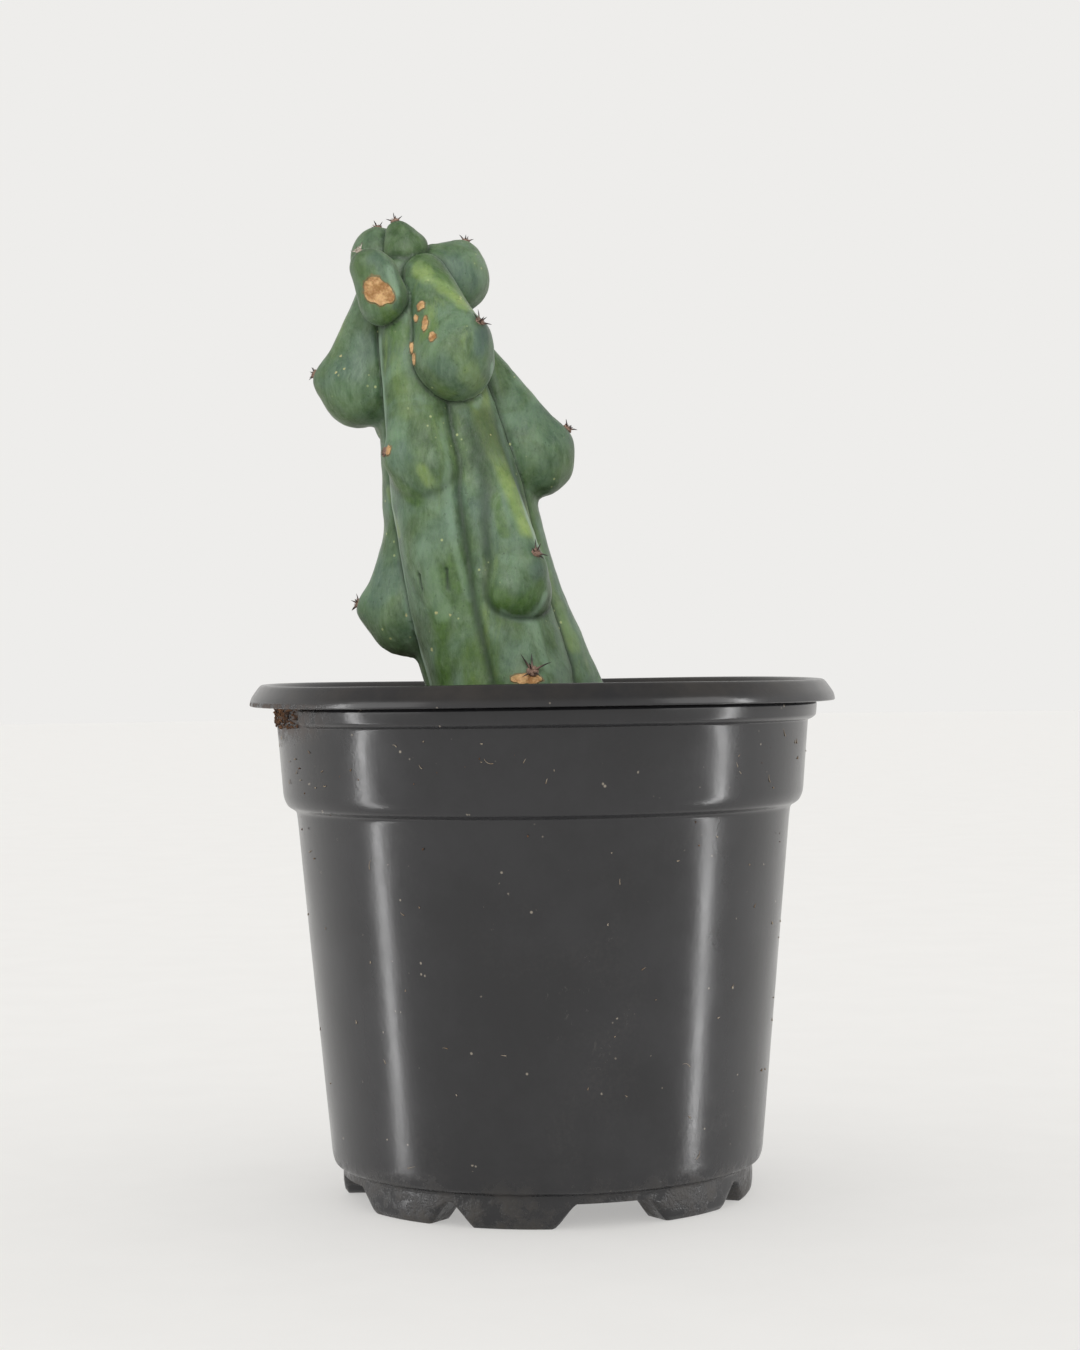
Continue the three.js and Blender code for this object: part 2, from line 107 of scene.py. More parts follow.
# Tubercles. Each place is a turn round the axis in degrees, a height and a reach out from the axis.
# Belly and top end with a radius, "tip" is how blunt the end at the areole is, and "merge" is how
# widely the tubercle melts into its rib: crisp ones overhang it, soft ones only swell out of it.
TUBERCLES = {
    "left_upper": tubercle("left", (-90, 220, 20.5, 9.6), (-90, 246, 8, 7), (-90, 224, 30.8), merge=3.5),
    "left_lower": tubercle(
        "left", (-90, 157.4, 23, 9.4), (-90, 186, 11.5, 7.6), (-90, 161.2, 33.4), merge=3.5
    ),
    "front_left_crown": tubercle(
        None, (-31.5, 242.6, 16.2, 5.5), (-29, 249.8, 17.0, 4.9), (-35, 254.6, 20.2), tip=3.0
    ),
    "front_left_middle": tubercle(
        "front_left", (-23, 196.5, 16.2, 8.4), (-22, 238, 9, 7.2), (-41, 201.1, 23.6), merge=3
    ),
    "front_right_upper": tubercle(
        None, (24, 226, 17.4, 10.3), (32, 249.2, 6.5, 7.0), (36, 234.6, 25.8), tip=3, merge=1.4
    ),
    "front_right_middle": tubercle(
        "front_right", (28, 163.4, 18.8, 9.2), (37, 209, 11, 8.2), (36, 172.9, 28.4), tip=3, merge=1.6
    ),
    "front_right_lower": tubercle(
        "front_right", (13, 131, 17.5, 8.6), (13, 152, 13, 8.4), (14, 141, 26.0), tip=3, merge=4
    ),
    "right_upper": tubercle(
        None, (112, 250.4, 12.9, 8.5), (120, 253.4, 2.5, 5.8), (113, 259.8, 18.2), tip=2.4
    ),
    "right_middle": tubercle(
        "right", (90, 199.9, 23.8, 9.1), (90, 232, 8.2, 7.0), (90, 207.6, 32.8), merge=3.5
    ),
    "right_lower": tubercle(
        "right", (84, 128, 15.5, 8.0), (84, 158, 10.5, 8.6), (84, 134, 25.5), tip=3, merge=5
    ),
    "crown": tubercle(None, (20, 256.9, 1.2, 5.3), (180, 253, 2, 5.2), (-100, 265.0, 1.2), tip=1.2),
    "back_left_crown": tubercle(
        None, (-120, 256.2, 9.2, 6.3), (-130, 251, 5, 5.5), (-130, 263.4, 8.6), tip=3
    ),
    "back_right_upper": tubercle(None, (150, 232, 16, 9.8), (155, 250, 4.5, 6.5), (150, 238, 27)),
    "back_right_middle": tubercle(
        "back_right", (150, 181, 20, 9.8), (150, 214, 10, 8), (150, 187, 31), merge=2.5
    ),
    "back_right_lower": tubercle(
        "back_right", (150, 138, 19, 9.5), (150, 162, 12.5, 9), (150, 143, 29.5), merge=3
    ),
    "back_left_upper": tubercle(
        "back_left", (-150, 214, 17.5, 9.5), (-150, 243, 6.5, 7), (-150, 219, 28), merge=2
    ),
    "back_left_lower": tubercle(
        "back_left", (-150, 166, 20, 9.8), (-150, 197, 11, 8), (-150, 171, 31), merge=3
    ),
}

# How widely the parts of a tubercle melt together, and how little two ribs do.
LOBE_BLEND = 5.0
BROW_BLEND = 6.0
CREASE_BLEND = 0.8

# Corky scars on the skin: turn and height, the half-width and half-height of the patch, how far it
# stands out or is sunk, and how much its outline narrows and leans to the left going up.
SCARS = [
    dict(at=(-24, 244.6), half=(4.3, 4.0), depth=-0.35, taper=0.42, skew=0.35),
    dict(at=(4.9, 240.5), half=(1.25, 1.4), depth=0.45),
    dict(at=(-1.6, 237.1), half=(0.9, 1.1), depth=0.35),
    dict(at=(4.5, 235.4), half=(1.15, 2.3), depth=0.5, skew=0.15),
    dict(at=(6.6, 231.4), half=(1.15, 1.7), depth=0.5, skew=0.2),
    dict(at=(-10.6, 229.4), half=(0.7, 1.7), depth=0.3),
    dict(at=(-8.9, 226.2), half=(1.15, 1.8), depth=0.45, skew=0.3),
    dict(at=(-38, 201.9), half=(1.3, 1.4), depth=0.3),
    dict(at=(10, 140.6), half=(4.6, 1.6), depth=-0.2),
]

# Colour strokes on the skin: a path of (turn, height), the stroke's half-width and its strength.
SUNNED = [
    ([(41, 216), (36, 203), (40, 192), (39, 181)], 3.2, 1.0),
    ([(12, 251), (28, 246.5), (35, 240.5)], 2.3, 0.8),
    ([(-75, 192), (-54, 180)], 1.5, 0.6),
    ([(-17, 196), (-15, 193)], 1.6, 0.6),
    ([(-27, 226), (-22, 212)], 2.0, 0.25),
    ([(22, 222), (30, 219)], 2.5, 0.4),
    ([(60, 185), (60, 150)], 2.6, 0.5),
]
LUSH = [
    ([(26, 198), (24, 179)], 1.5, 0.95),
    ([(8, 162), (22, 160), (34, 164)], 2.8, 0.85),
    ([(-24, 168), (-33, 152), (-44, 138)], 2.6, 1.0),
    ([(-10, 172), (-13, 156)], 3.2, 0.8),
    ([(-14, 154), (-18, 138)], 4.5, 0.55),
    ([(-44, 199), (-40, 193), (-28, 189)], 2.2, 0.9),
    ([(-29, 237), (-20, 234)], 3.0, 0.7),
    ([(32, 249), (50, 244), (70, 243)], 2.4, 0.7),
    ([(-70, 218), (-85, 212)], 4.5, 0.45),
    ([(-82, 150), (-84, 156)], 5.0, 0.4),
    ([(20, 254), (60, 256)], 3.0, 0.5),
    ([(88, 194), (86, 200)], 4.0, 0.45),
    ([(-40, 242), (-25, 239)], 2.2, 0.5),
]
# Painted highlights: pale bluish strokes of light along the rib edges beside the furrows.
PAINTED_HIGHLIGHTS = [
    ([(-48, 232), (-46, 214), (-52, 203)], 1.6, 0.95),
    ([(-60, 192), (-62, 172), (-64, 152), (-60, 140)], 1.5, 0.85),
    ([(2, 210), (-4, 194), (-10, 178), (-7, 162)], 1.0, 0.35),
    ([(54, 208), (50, 192), (42, 176)], 1.2, 0.85),
    ([(38, 163), (25, 156), (10, 158)], 1.0, 0.7),
    ([(28, 156), (24, 143)], 1.2, 0.35),
    ([(42, 224), (40, 217), (34, 214)], 1.0, 0.75),
    ([(-14, 250), (-14, 244)], 1.2, 0.6),
    ([(-30, 176), (-28, 158)], 2.0, 0.35),
]
DUSKY = [
    ([(-64, 230), (-70, 222)], 4.6, 0.75),
    ([(66, 254), (76, 250)], 4.2, 0.75),
    ([(-20, 253), (-14, 249)], 3.0, 0.7),
    ([(33, 231.5), (31, 228.5)], 2.4, 1.0),
    ([(33, 169)], 2.4, 0.7),
    ([(-30, 200)], 3.4, 0.5),
    ([(-76, 168), (-80, 160)], 5.0, 0.6),
    ([(8, 224), (18, 219)], 3.0, 0.5),
    ([(12, 186), (14, 176)], 2.8, 0.6),
    ([(80, 212), (84, 206)], 4.5, 0.5),
]
# Short upright splits: the turn and height of the top and of the bottom.
SLITS = [((-39, 168.7), (-39.5, 164.3)), ((-18, 170), (-20, 164.2))]
# Small pale dried spots: turn, height and radius.
SPOTS = [
    (-65, 158, 0.55), (-32, 158.3, 0.55), (-23, 157.6, 0.5), (-44, 148.6, 0.6), (-74, 228.5, 0.5),
    (-73, 224, 0.5), (-69, 224.8, 0.45), (38, 206, 0.5),
]


def beside(turn, height, reach):
    """A point beside the leaning axis, as numpy millimetres."""
    angle = math.radians(turn)
    x = float(np.interp(height, AXIS_HEIGHTS, AXIS_X)) + reach * math.sin(angle)
    return np.array([x, -reach * math.cos(angle), height], dtype=float)


# ---------------------------------------------------------------- the stem's distance field


def round_cone(points, a, radius_a, b, radius_b):
    """Distance from points to a cone with round ends, negative inside it."""
    along = b - a
    length2 = float(along @ along)
    taper = radius_a - radius_b
    flat = length2 - taper * taper
    offset = points - a
    y = offset @ along
    z = y - length2
    x2 = ((offset * length2 - y[..., None] * along) ** 2).sum(-1)
    y2 = y * y * length2
    z2 = z * z * length2
    k = math.copysign(1, taper) * taper * taper * x2 if taper else np.zeros_like(x2)
    side = (np.sqrt(x2 * flat / length2) + y * taper) / length2 - radius_a
    far_end = np.sqrt(x2 + z2) / length2 - radius_b
    near_end = np.sqrt(x2 + y2) / length2 - radius_a
    result = np.where(np.sign(y) * flat * y2 < k, near_end, side)
    return np.where(np.sign(z) * flat * z2 > k, far_end, result)


def smooth_min(a, b, blend):
    """The nearer of two distances, melted together where they differ by less than the blend."""
    h = np.maximum(blend - np.abs(a - b), 0) / blend
    return np.minimum(a, b) - h * h * blend / 4


def tubercle_places(plan):
    """A tubercle's belly, top, areole and root as points, and its girth."""
    turn, height, _, girth = plan["belly"]
    belly = beside(*plan["belly"][:3])
    top = beside(*plan["top"][:3])
    areole = beside(*plan["areole"])
    root = beside(turn, height - 2, 2)
    return belly, top, areole, root, girth


def tubercle_field(points, plan):
    """Distance to one tubercle: a ridge, a root to the axis, a brow down to the areole, and its tip."""
    belly, top, areole, root, girth = tubercle_places(plan)
    tip = plan["tip"]
    outwards = (areole - belly) / np.linalg.norm(areole - belly)
    tip_centre = areole - outwards * (tip + 0.5)
    ridge = round_cone(points, top, plan["top"][3], belly, girth)
    tie = round_cone(points, root, girth * 0.75, belly, girth * 0.86)
    brow_start = top + (tip_centre - top) * 0.12
    brow = round_cone(points, brow_start, plan["top"][3] * 0.5, tip_centre, tip)
    nipple = round_cone(points, belly, girth * 0.74, tip_centre, tip)
    swell = smooth_min(ridge, tie, LOBE_BLEND)
    swell = smooth_min(swell, brow, BROW_BLEND)
    return smooth_min(swell, nipple, LOBE_BLEND)


def strand_field(points, low_turn, high_turn, out_share, fat_share):
    """Distance to one strand of the fluted column."""
    distance = None
    steps = list(zip(COLUMN_HEIGHTS, COLUMN_RADII))
    for (low, low_radius), (high, high_radius) in zip(steps, steps[1:]):
        turns = [float(np.interp(height, TWIST_HEIGHTS, (low_turn, high_turn))) for height in (low, high)]
        start = beside(turns[0], low, low_radius * out_share)
        end = beside(turns[1], high, high_radius * out_share)
        part = round_cone(points, start, low_radius * fat_share, end, high_radius * fat_share)
        distance = part if distance is None else np.minimum(distance, part)
    return distance


# The solid core inside the ribs as a share of the column, and how far past a tubercle its field counts.
CORE_SHARE = 0.7
BOX_MARGIN = 7


def stem_groups():
    """The stem's members by rib: {rib: [(field, box or None, blend with the rib so far), ...]}."""
    groups = {"core": [(lambda p: strand_field(p, 0, 0, 0, CORE_SHARE), None, 0)]}
    for name, strand_shape in RIBS.items():
        groups[name] = [(lambda p, shape=strand_shape: strand_field(p, *shape), None, 0)]
    for name, plan in TUBERCLES.items():
        belly, top, areole, root, girth = tubercle_places(plan)
        ends = np.array([belly, top, areole, root])
        box = (ends.min(0) - girth - BOX_MARGIN, ends.max(0) + girth + BOX_MARGIN)
        member = (lambda p, q=plan: tubercle_field(p, q), box, plan["merge"])
        groups.setdefault(plan["rib"] or name, []).append(member)
    return groups


# Distances are cut off at FAR. A crease is so wide and shows so far below the skin, and joins softer
# than SOFTEST_CREASE make none.
FAR = 12.0
CREASE_WIDTH = 0.7
CREASE_REACH = 0.9
SOFTEST_CREASE = 5.0
SOFTENING = 3.2


def crease_where(a, b, blend):
    """How much of a crease two members make where they meet near the skin; soft joins make little."""
    crispness = np.clip((SOFTEST_CREASE - blend) / SOFTENING, 0, 1)
    meeting = np.exp(-((a - b) / CREASE_WIDTH) ** 2)
    exposed = np.exp(-(np.minimum(a, b) / CREASE_REACH) ** 2)
    return crispness * meeting * exposed


def stem_distance(points, with_crease=False):
    """Distance to the skin at an (n, 3) array, and optionally how much of a crease each point is in."""
    distance = np.full(len(points), FAR)
    crease = np.zeros(len(points))
    for members in stem_groups().values():
        rib = np.full(len(points), FAR)
        for field, box, blend in members:
            if box is None:
                chosen = np.arange(len(points))
            else:
                chosen = np.nonzero(((points > box[0]) & (points < box[1])).all(1))[0]
            if not len(chosen):
                continue
            value = field(points[chosen])
            if with_crease and blend:
                crease[chosen] = np.maximum(crease[chosen], crease_where(rib[chosen], value, blend))
            rib[chosen] = smooth_min(rib[chosen], value, max(blend, 0.1))
        if with_crease:
            crease = np.maximum(crease, crease_where(distance, rib, CREASE_BLEND))
        distance = smooth_min(distance, rib, CREASE_BLEND)
    return (distance, crease) if with_crease else distance


def skin_normals(points, step=0.15):
    """Outward unit normals of the distance field at the points."""
    gradient = np.empty_like(points)
    for axis in range(3):
        shift = np.zeros(3)
        shift[axis] = step
        gradient[:, axis] = stem_distance(points + shift) - stem_distance(points - shift)
    return gradient / np.maximum(np.linalg.norm(gradient, axis=1, keepdims=True), 1e-9)


def value_noise(points, scale, seed):
    """Smooth noise from -1 to 1 at the points, with features about scale millimetres across."""
    rng = np.random.default_rng(seed)
    lattice = rng.uniform(-1, 1, (32, 32, 32))
    place = points / scale + 1000
    cell = np.floor(place).astype(int)
    part = place - cell
    part = part * part * (3 - 2 * part)
    total = np.zeros(len(points))
    for bits in range(8):
        corner = np.array([bits & 1, bits >> 1 & 1, bits >> 2])
        weight = np.where(corner, part, 1 - part).prod(1)
        index = (cell + corner) % 32
        total += weight * lattice[index[:, 0], index[:, 1], index[:, 2]]
    return total


# ---------------------------------------------------------------- mesh helpers


def new_object(name, mesh, material=None, smooth=True):
    """An object at the origin for a mesh, linked into the scene."""
    thing = bpy.data.objects.new(name, mesh)
    bpy.context.scene.collection.objects.link(thing)
    if material:
        mesh.materials.clear()
        mesh.materials.append(material)
    if smooth:
        mesh.polygons.foreach_set("use_smooth", [True] * len(mesh.polygons))
    mesh.update()
    return thing


def mesh_from(name, vertices_mm, faces):
    """A mesh from millimetre vertices and faces."""
    mesh = bpy.data.meshes.new(name)
    mesh.from_pydata([tuple(v) for v in np.asarray(vertices_mm) * MM], [], [tuple(f) for f in faces])
    mesh.validate()
    return mesh


def write_attribute(mesh, name, values):
    """A float attribute, one value for each vertex."""
    layer = mesh.attributes.new(name, "FLOAT", "POINT")
    layer.data.foreach_set("value", np.asarray(values, dtype=np.float32))


def finish_piece(piece, slot, *nodes):
    """Hangs a finished piece on the object's one body and hides the nodes it stands for; its slot is not
    used.
    """
    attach(piece, BODY)
    if nodes:
        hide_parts(*nodes)


def apply_modifiers(thing):
    """Turns an object's modifiers into plain mesh and removes them."""
    depsgraph = bpy.context.evaluated_depsgraph_get()
    result = bpy.data.meshes.new_from_object(thing.evaluated_get(depsgraph))
    old = thing.data
    thing.modifiers.clear()
    thing.data = result
    bpy.data.meshes.remove(old)
    return result


# ---------------------------------------------------------------- material helper


class Shader:
    """A node material built a node at a time, with a Principled shader at its end."""

    def __init__(self, name):
        self.material = bpy.data.materials.new(name)
        self.material.use_nodes = True
        self.tree = self.material.node_tree
        self.surface = self.tree.nodes["Principled BSDF"]
        self.coords = self.node("ShaderNodeTexCoord").outputs["Object"]

    def node(self, kind, inputs=None, **settings):
        made = self.tree.nodes.new(kind)
        for key, value in settings.items():
            setattr(made, key, value)
        for key, value in (inputs or {}).items():
            self.feed(made.inputs[key], value)
        return made

    def feed(self, socket, value):
        if isinstance(value, bpy.types.NodeSocket):
            self.tree.links.new(value, socket)
        else:
            socket.default_value = value

    def set(self, **inputs):
        """Sets or links the Principled shader's sockets; words are joined with underscores."""
        for key, value in inputs.items():
            self.feed(self.surface.inputs[key.replace("_", " ")], value)

    def noise(self, scale, detail, roughness, distortion=0.0, stretch=None):
        vector = self.stretched(stretch) if stretch else self.coords
        inputs = {"Vector": vector, "Scale": scale, "Detail": detail, "Roughness": roughness}
        inputs["Distortion"] = distortion
        return self.node("ShaderNodeTexNoise", inputs).outputs["Fac"]

    def stretched(self, stretch):
        return self.node("ShaderNodeMapping", {"Vector": self.coords, "Scale": stretch}).outputs["Vector"]

    def cells(self, scale):
        inputs = {"Vector": self.coords, "Scale": scale}
        return self.node("ShaderNodeTexVoronoi", inputs).outputs["Distance"]

    def ramp(self, value, low, high, bottom=0.0, top=1.0):
        """A smooth step of a value from one end of a range to the other."""
        inputs = {"Value": value, "From Min": low, "From Max": high, "To Min": bottom, "To Max": top}
        return self.node("ShaderNodeMapRange", inputs, interpolation_type="SMOOTHSTEP").outputs["Result"]

    def math(self, operation, a, b):
        made = self.node("ShaderNodeMath", operation=operation)
        self.feed(made.inputs[0], a)
        self.feed(made.inputs[1], b)
        return made.outputs["Value"]

    def times(self, a, b):
        return self.math("MULTIPLY", a, b)

    def mix(self, share, a, b):
        """A blend of two colours by a share from 0 to 1."""
        made = self.node("ShaderNodeMix", data_type="RGBA", clamp_factor=True)
        self.feed(made.inputs["Factor"], share)
        self.feed(made.inputs["A"], a)
        self.feed(made.inputs["B"], b)
        return made.outputs["Result"]

    def lay(self, base, mask, strength, colour):
        """A colour laid over a base where a mask says, at a strength."""
        return self.mix(self.times(mask, strength), base, colour)

    def attribute(self, name):
        return self.node("ShaderNodeAttribute", attribute_name=name).outputs["Fac"]

    def axis(self, which):
        return self.node("ShaderNodeSeparateXYZ", {"Vector": self.coords}).outputs[which]

    def bump(self, height, distance, strength, after=None):
        """A normal from a relief, laid on an earlier normal if there is one."""
        inputs = {"Height": height, "Distance": distance, "Strength": strength}
        if after is not None:
            inputs["Normal"] = after
        return self.node("ShaderNodeBump", inputs).outputs["Normal"]


def rgb(red, green, blue):
    """A display colour of 0 to 255 a channel as linear light."""
    def linear(value):
        share = value / 255
        return share / 12.92 if share <= 0.04045 else ((share + 0.055) / 1.055) ** 2.4
    return (linear(red), linear(green), linear(blue), 1.0)


# ---------------------------------------------------------------- materials


def paint(colour):
    """A colour setting with full opacity."""
    return (*colour, 1.0)


def pot_plastic():
    """Black injection-moulded plastic, slightly glossy, dusty, with soil grime at lip and feet."""
    s = Shader("pot_plastic")
    height = s.axis("Z")
    cloud = s.noise(38, 5, 0.6)
    fine = s.noise(900, 3, 0.6)
    flow = s.noise(60, 4, 0.6, stretch=(1, 1, 0.12))
    black = bpy.context.scene.pot_settings.black
    base = s.mix(s.ramp(cloud, 0.35, 0.7), paint(black), paint([channel * 1.4 for channel in black]))
    dust_cloud = s.times(s.ramp(s.noise(22, 6, 0.65, 0.6), 0.5, 0.78), s.ramp(fine, 0.35, 0.7))
    base = s.lay(base, dust_cloud, 0.07, rgb(120, 114, 106))
    speck_cells = s.cells(520)
    speck_pick = s.ramp(s.noise(210, 2, 0.5), 0.66, 0.70)
    specks = s.times(s.ramp(speck_cells, 0.24, 0.12), speck_pick)
    base = s.lay(base, specks, 0.6, rgb(176, 166, 150))
    foot_grime = s.times(s.ramp(height, 0.016, 0.004), s.ramp(s.noise(150, 6, 0.7), 0.42, 0.66))
    base = s.lay(base, foot_grime, 0.35, rgb(84, 78, 70))
    lip_band = s.times(s.ramp(height, 0.122, 0.131), s.ramp(height, 0.1352, 0.1345))
    left_side = s.ramp(s.axis("X"), -0.052, -0.072)
    clods = s.ramp(s.noise(260, 6, 0.7), 0.4, 0.55)
    lip_soil = s.times(lip_band, s.times(left_side, clods))
    base = s.lay(base, lip_soil, 0.5, rgb(84, 62, 46))
    scratches = s.ramp(s.noise(420, 6, 0.75, stretch=(1, 1, 0.5)), 0.60, 0.72)
    scuff = s.times(scratches, s.ramp(s.noise(26, 4, 0.6), 0.55, 0.68))
    base = s.lay(base, scuff, 0.35, rgb(128, 124, 118))
    rim_brown = s.times(s.ramp(height, 0.1335, 0.1375), s.ramp(s.noise(45, 5, 0.6), 0.3, 0.7))
    base = s.lay(base, rim_brown, 0.28, rgb(88, 80, 70))
    rough = s.ramp(s.noise(70, 6, 0.6), 0.2, 0.8, 0.17, 0.25)
    rough = s.math("ADD", rough, s.times(dust_cloud, 0.12))
    grime = s.math("MAXIMUM", foot_grime, lip_soil)
    rough = s.math("ADD", rough, s.times(grime, 0.4))
    normal = s.bump(flow, 0.00025, 0.25)
    normal = s.bump(fine, 0.00004, 0.5, normal)
    normal = s.bump(grime, 0.0003, 0.8, normal)
    s.set(Base_Color=base, Roughness=rough, Normal=normal)
    s.set(Specular_IOR_Level=0.5)
    return s.material


def cactus_skin():
    """Waxy blue-green skin with a pale bloom, rubbed green patches and corky scars, painted highlights
    along the rib edges and painted shade in the creases and slits.
    """
    s = Shader("cactus_skin")
    colours = bpy.context.scene.cactus_settings
    crease = s.attribute("crease")
    belly = s.attribute("belly")
    cork = s.attribute("cork")
    stain = s.attribute("stain")
    broad = s.noise(45, 5, 0.6, 0.8)
    blotch = s.noise(120, 6, 0.65, 0.4)
    streak = s.noise(75, 6, 0.65, 0.7, stretch=(1, 1, 0.22))
    grain = s.noise(1300, 3, 0.6)
    pore_cells = s.cells(1100)
    patchy = s.ramp(s.noise(260, 6, 0.7, 0.5), 0.3, 0.7)
    blue_green = s.mix(s.ramp(blotch, 0.3, 0.7), paint(colours.waxy_dark), paint(colours.waxy_light))
    deep = s.mix(s.ramp(s.noise(200, 5, 0.6), 0.3, 0.7), rgb(46, 72, 34), rgb(76, 101, 58))
    fresh = s.mix(s.ramp(s.noise(160, 5, 0.6), 0.3, 0.7), rgb(66, 97, 26), rgb(114, 136, 70))
    skin = s.mix(s.ramp(broad, 0.40, 0.60), blue_green, deep)
    skin = s.lay(skin, s.ramp(belly, 0.25, 0.9), 0.5, deep)
    rubbed = s.times(s.ramp(streak, 0.50, 0.66), s.ramp(s.noise(33, 4, 0.5), 0.42, 0.58))
    skin = s.lay(skin, rubbed, 0.85, fresh)
    lush = s.mix(patchy, rgb(42, 76, 12), paint(colours.lush))
    sunned = s.mix(patchy, rgb(112, 138, 62), paint(colours.sunned))
    skin = s.lay(skin, s.attribute("dusky"), 0.8, rgb(66, 90, 82))
    skin = s.lay(skin, s.attribute("sunned"), 0.8, sunned)
    skin = s.lay(skin, s.attribute("lush"), 0.95, lush)
    # Painted highlight: the pale strokes lay light along the rib edges beside the furrows.
    skin = s.lay(skin, s.attribute("pale"), 0.85, paint(colours.pale))
    bloom = s.times(s.ramp(s.noise(90, 7, 0.7, 1.2, stretch=(1, 1, 0.5)), 0.46, 0.74), 0.34)
    skin = s.mix(bloom, skin, rgb(138, 160, 134))
    mottle = s.ramp(s.noise(430, 7, 0.72, 0.5, stretch=(1, 1, 0.4)), 0.36, 0.66)
    skin = s.lay(skin, mottle, 0.20, rgb(134, 156, 126))
    flecks = s.ramp(s.noise(820, 5, 0.7, stretch=(1, 1, 0.5)), 0.56, 0.70)
    skin = s.lay(skin, flecks, 0.40, rgb(36, 60, 24))
    # Painted shade: dark green laid in the creases between the tubercles and in the slits.
    skin = s.lay(skin, crease, 0.8, rgb(24, 46, 26))
    skin = s.lay(skin, stain, 0.75, rgb(34, 44, 52))
    freckle = s.times(s.ramp(s.cells(330), 0.16, 0.07), s.ramp(s.noise(80, 3, 0.5), 0.55, 0.62))
    skin = s.lay(skin, freckle, 0.7, rgb(176, 184, 128))
    dark_fleck = s.times(s.ramp(s.cells(420), 0.13, 0.06), s.ramp(s.noise(60, 3, 0.5), 0.5, 0.6))
    skin = s.lay(skin, dark_fleck, 0.5, rgb(38, 56, 34))
    skin = s.mix(s.ramp(s.attribute("spot"), 0.45, 0.9), skin, rgb(172, 168, 118))
    halo = s.times(s.ramp(cork, 0.02, 0.3), s.ramp(cork, 0.6, 0.35))
    skin = s.lay(skin, halo, 0.6, rgb(122, 92, 52))
    cork_colour = s.mix(s.ramp(s.noise(420, 6, 0.7), 0.35, 0.65), rgb(150, 108, 62), paint(colours.cork))
    cork_colour = s.mix(s.ramp(s.noise(700, 5, 0.7), 0.62, 0.75), cork_colour, rgb(96, 62, 34))
    skin = s.mix(s.ramp(cork, 0.38, 0.62), skin, cork_colour)
    rough = s.ramp(blotch, 0.25, 0.75, 0.40, 0.56)
    rough = s.math("ADD", rough, s.times(cork, 0.35))
    rough = s.math("SUBTRACT", rough, s.times(rubbed, 0.08))
    normal = s.bump(s.noise(170, 5, 0.6, 0.5, stretch=(1, 1, 0.45)), 0.0006, 0.45)
    fine_folds = s.noise(620, 6, 0.7, 0.6, stretch=(1, 1, 0.35))
    normal = s.bump(fine_folds, 0.00030, 0.65, normal)
    normal = s.bump(grain, 0.00008, 0.5, normal)
    normal = s.bump(s.ramp(pore_cells, 0.0, 0.3), 0.00005, 0.35, normal)
    cork_relief = s.times(s.ramp(cork, 0.25, 0.5), s.noise(520, 7, 0.75))
    normal = s.bump(cork_relief, 0.0007, 0.9, normal)
    s.set(Base_Color=skin, Roughness=rough, Normal=normal)
    s.set(Subsurface_Weight=0.12, Subsurface_Radius=(0.4, 1.0, 0.3), Subsurface_Scale=0.0022)
    s.set(Sheen_Weight=0.12, Sheen_Roughness=0.4, Specular_IOR_Level=0.42)
    return s.material


def spine_horn():
    """Dry horny spines: dark tips, paler bases, on a felted pad of short grey-brown wool."""
    s = Shader("spine_horn")
    shade = s.attribute("shade")
    pad = s.attribute("pad")
    fibre = s.noise(2600, 5, 0.7)
    spine = s.mix(s.ramp(shade, 0.05, 0.6), rgb(132, 106, 92), rgb(34, 26, 26))
    spine = s.lay(spine, s.ramp(fibre, 0.4, 0.7), 0.3, rgb(96, 78, 70))
    felt = s.mix(s.ramp(fibre, 0.3, 0.7), rgb(92, 68, 56), rgb(158, 132, 116))
    s.set(Base_Color=s.mix(pad, spine, felt), Roughness=s.ramp(pad, 0, 1, 0.5, 0.95))
    s.set(Normal=s.bump(fibre, 0.00012, 0.8))
    return s.material


def pale_spine_horn():
    """The youngest spines, still whitish with grey tips."""
    s = Shader("pale_spine_horn")
    shade = s.attribute("shade")
    fibre = s.noise(2600, 5, 0.7)
    spine = s.mix(s.ramp(shade, 0.3, 0.95), rgb(206, 196, 184), rgb(84, 72, 66))
    felt = s.mix(s.ramp(fibre, 0.3, 0.7), rgb(150, 132, 116), rgb(212, 202, 188))
    s.set(Base_Color=s.mix(s.attribute("pad"), spine, felt), Roughness=0.7)
    s.set(Normal=s.bump(fibre, 0.00012, 0.8))
    return s.material


def damp_soil():
    """Damp peat potting mix: dark brown, crumbly, with fibres and lighter dry patches."""
    s = Shader("damp_soil")
    crumb = s.noise(420, 8, 0.7)
    patch = s.noise(45, 4, 0.6)
    soil = s.mix(s.ramp(crumb, 0.35, 0.65), rgb(38, 27, 20), rgb(78, 56, 40))
    soil = s.lay(soil, s.ramp(patch, 0.5, 0.7), 0.5, rgb(104, 80, 58))
    normal = s.bump(crumb, 0.0009, 0.9)
    normal = s.bump(s.ramp(s.cells(600), 0.0, 0.5), 0.0004, 0.7, normal)
    s.set(Base_Color=soil, Roughness=0.93, Normal=normal)
    return s.material


def crumb_brown():
    """Single crumbs of peat and bark."""
    s = Shader("crumb_brown")
    tone = s.noise(160, 3, 0.6)
    colour = s.mix(s.ramp(tone, 0.3, 0.7), rgb(44, 30, 22), rgb(112, 78, 50))
    s.set(Base_Color=colour, Roughness=0.92, Normal=s.bump(s.noise(1800, 5, 0.7), 0.0002, 0.9))
    return s.material


def pumice():
    """Pale porous pumice grains, dusted with peat."""
    s = Shader("pumice")
    pores = s.cells(1500)
    colour = s.mix(s.ramp(s.noise(240, 5, 0.6), 0.35, 0.7), rgb(190, 180, 162), rgb(128, 108, 86))
    colour = s.mix(s.ramp(pores, 0.2, 0.05), colour, rgb(84, 68, 52))
    s.set(Base_Color=colour, Roughness=0.9, Normal=s.bump(pores, 0.0003, 0.9))
    return s.material


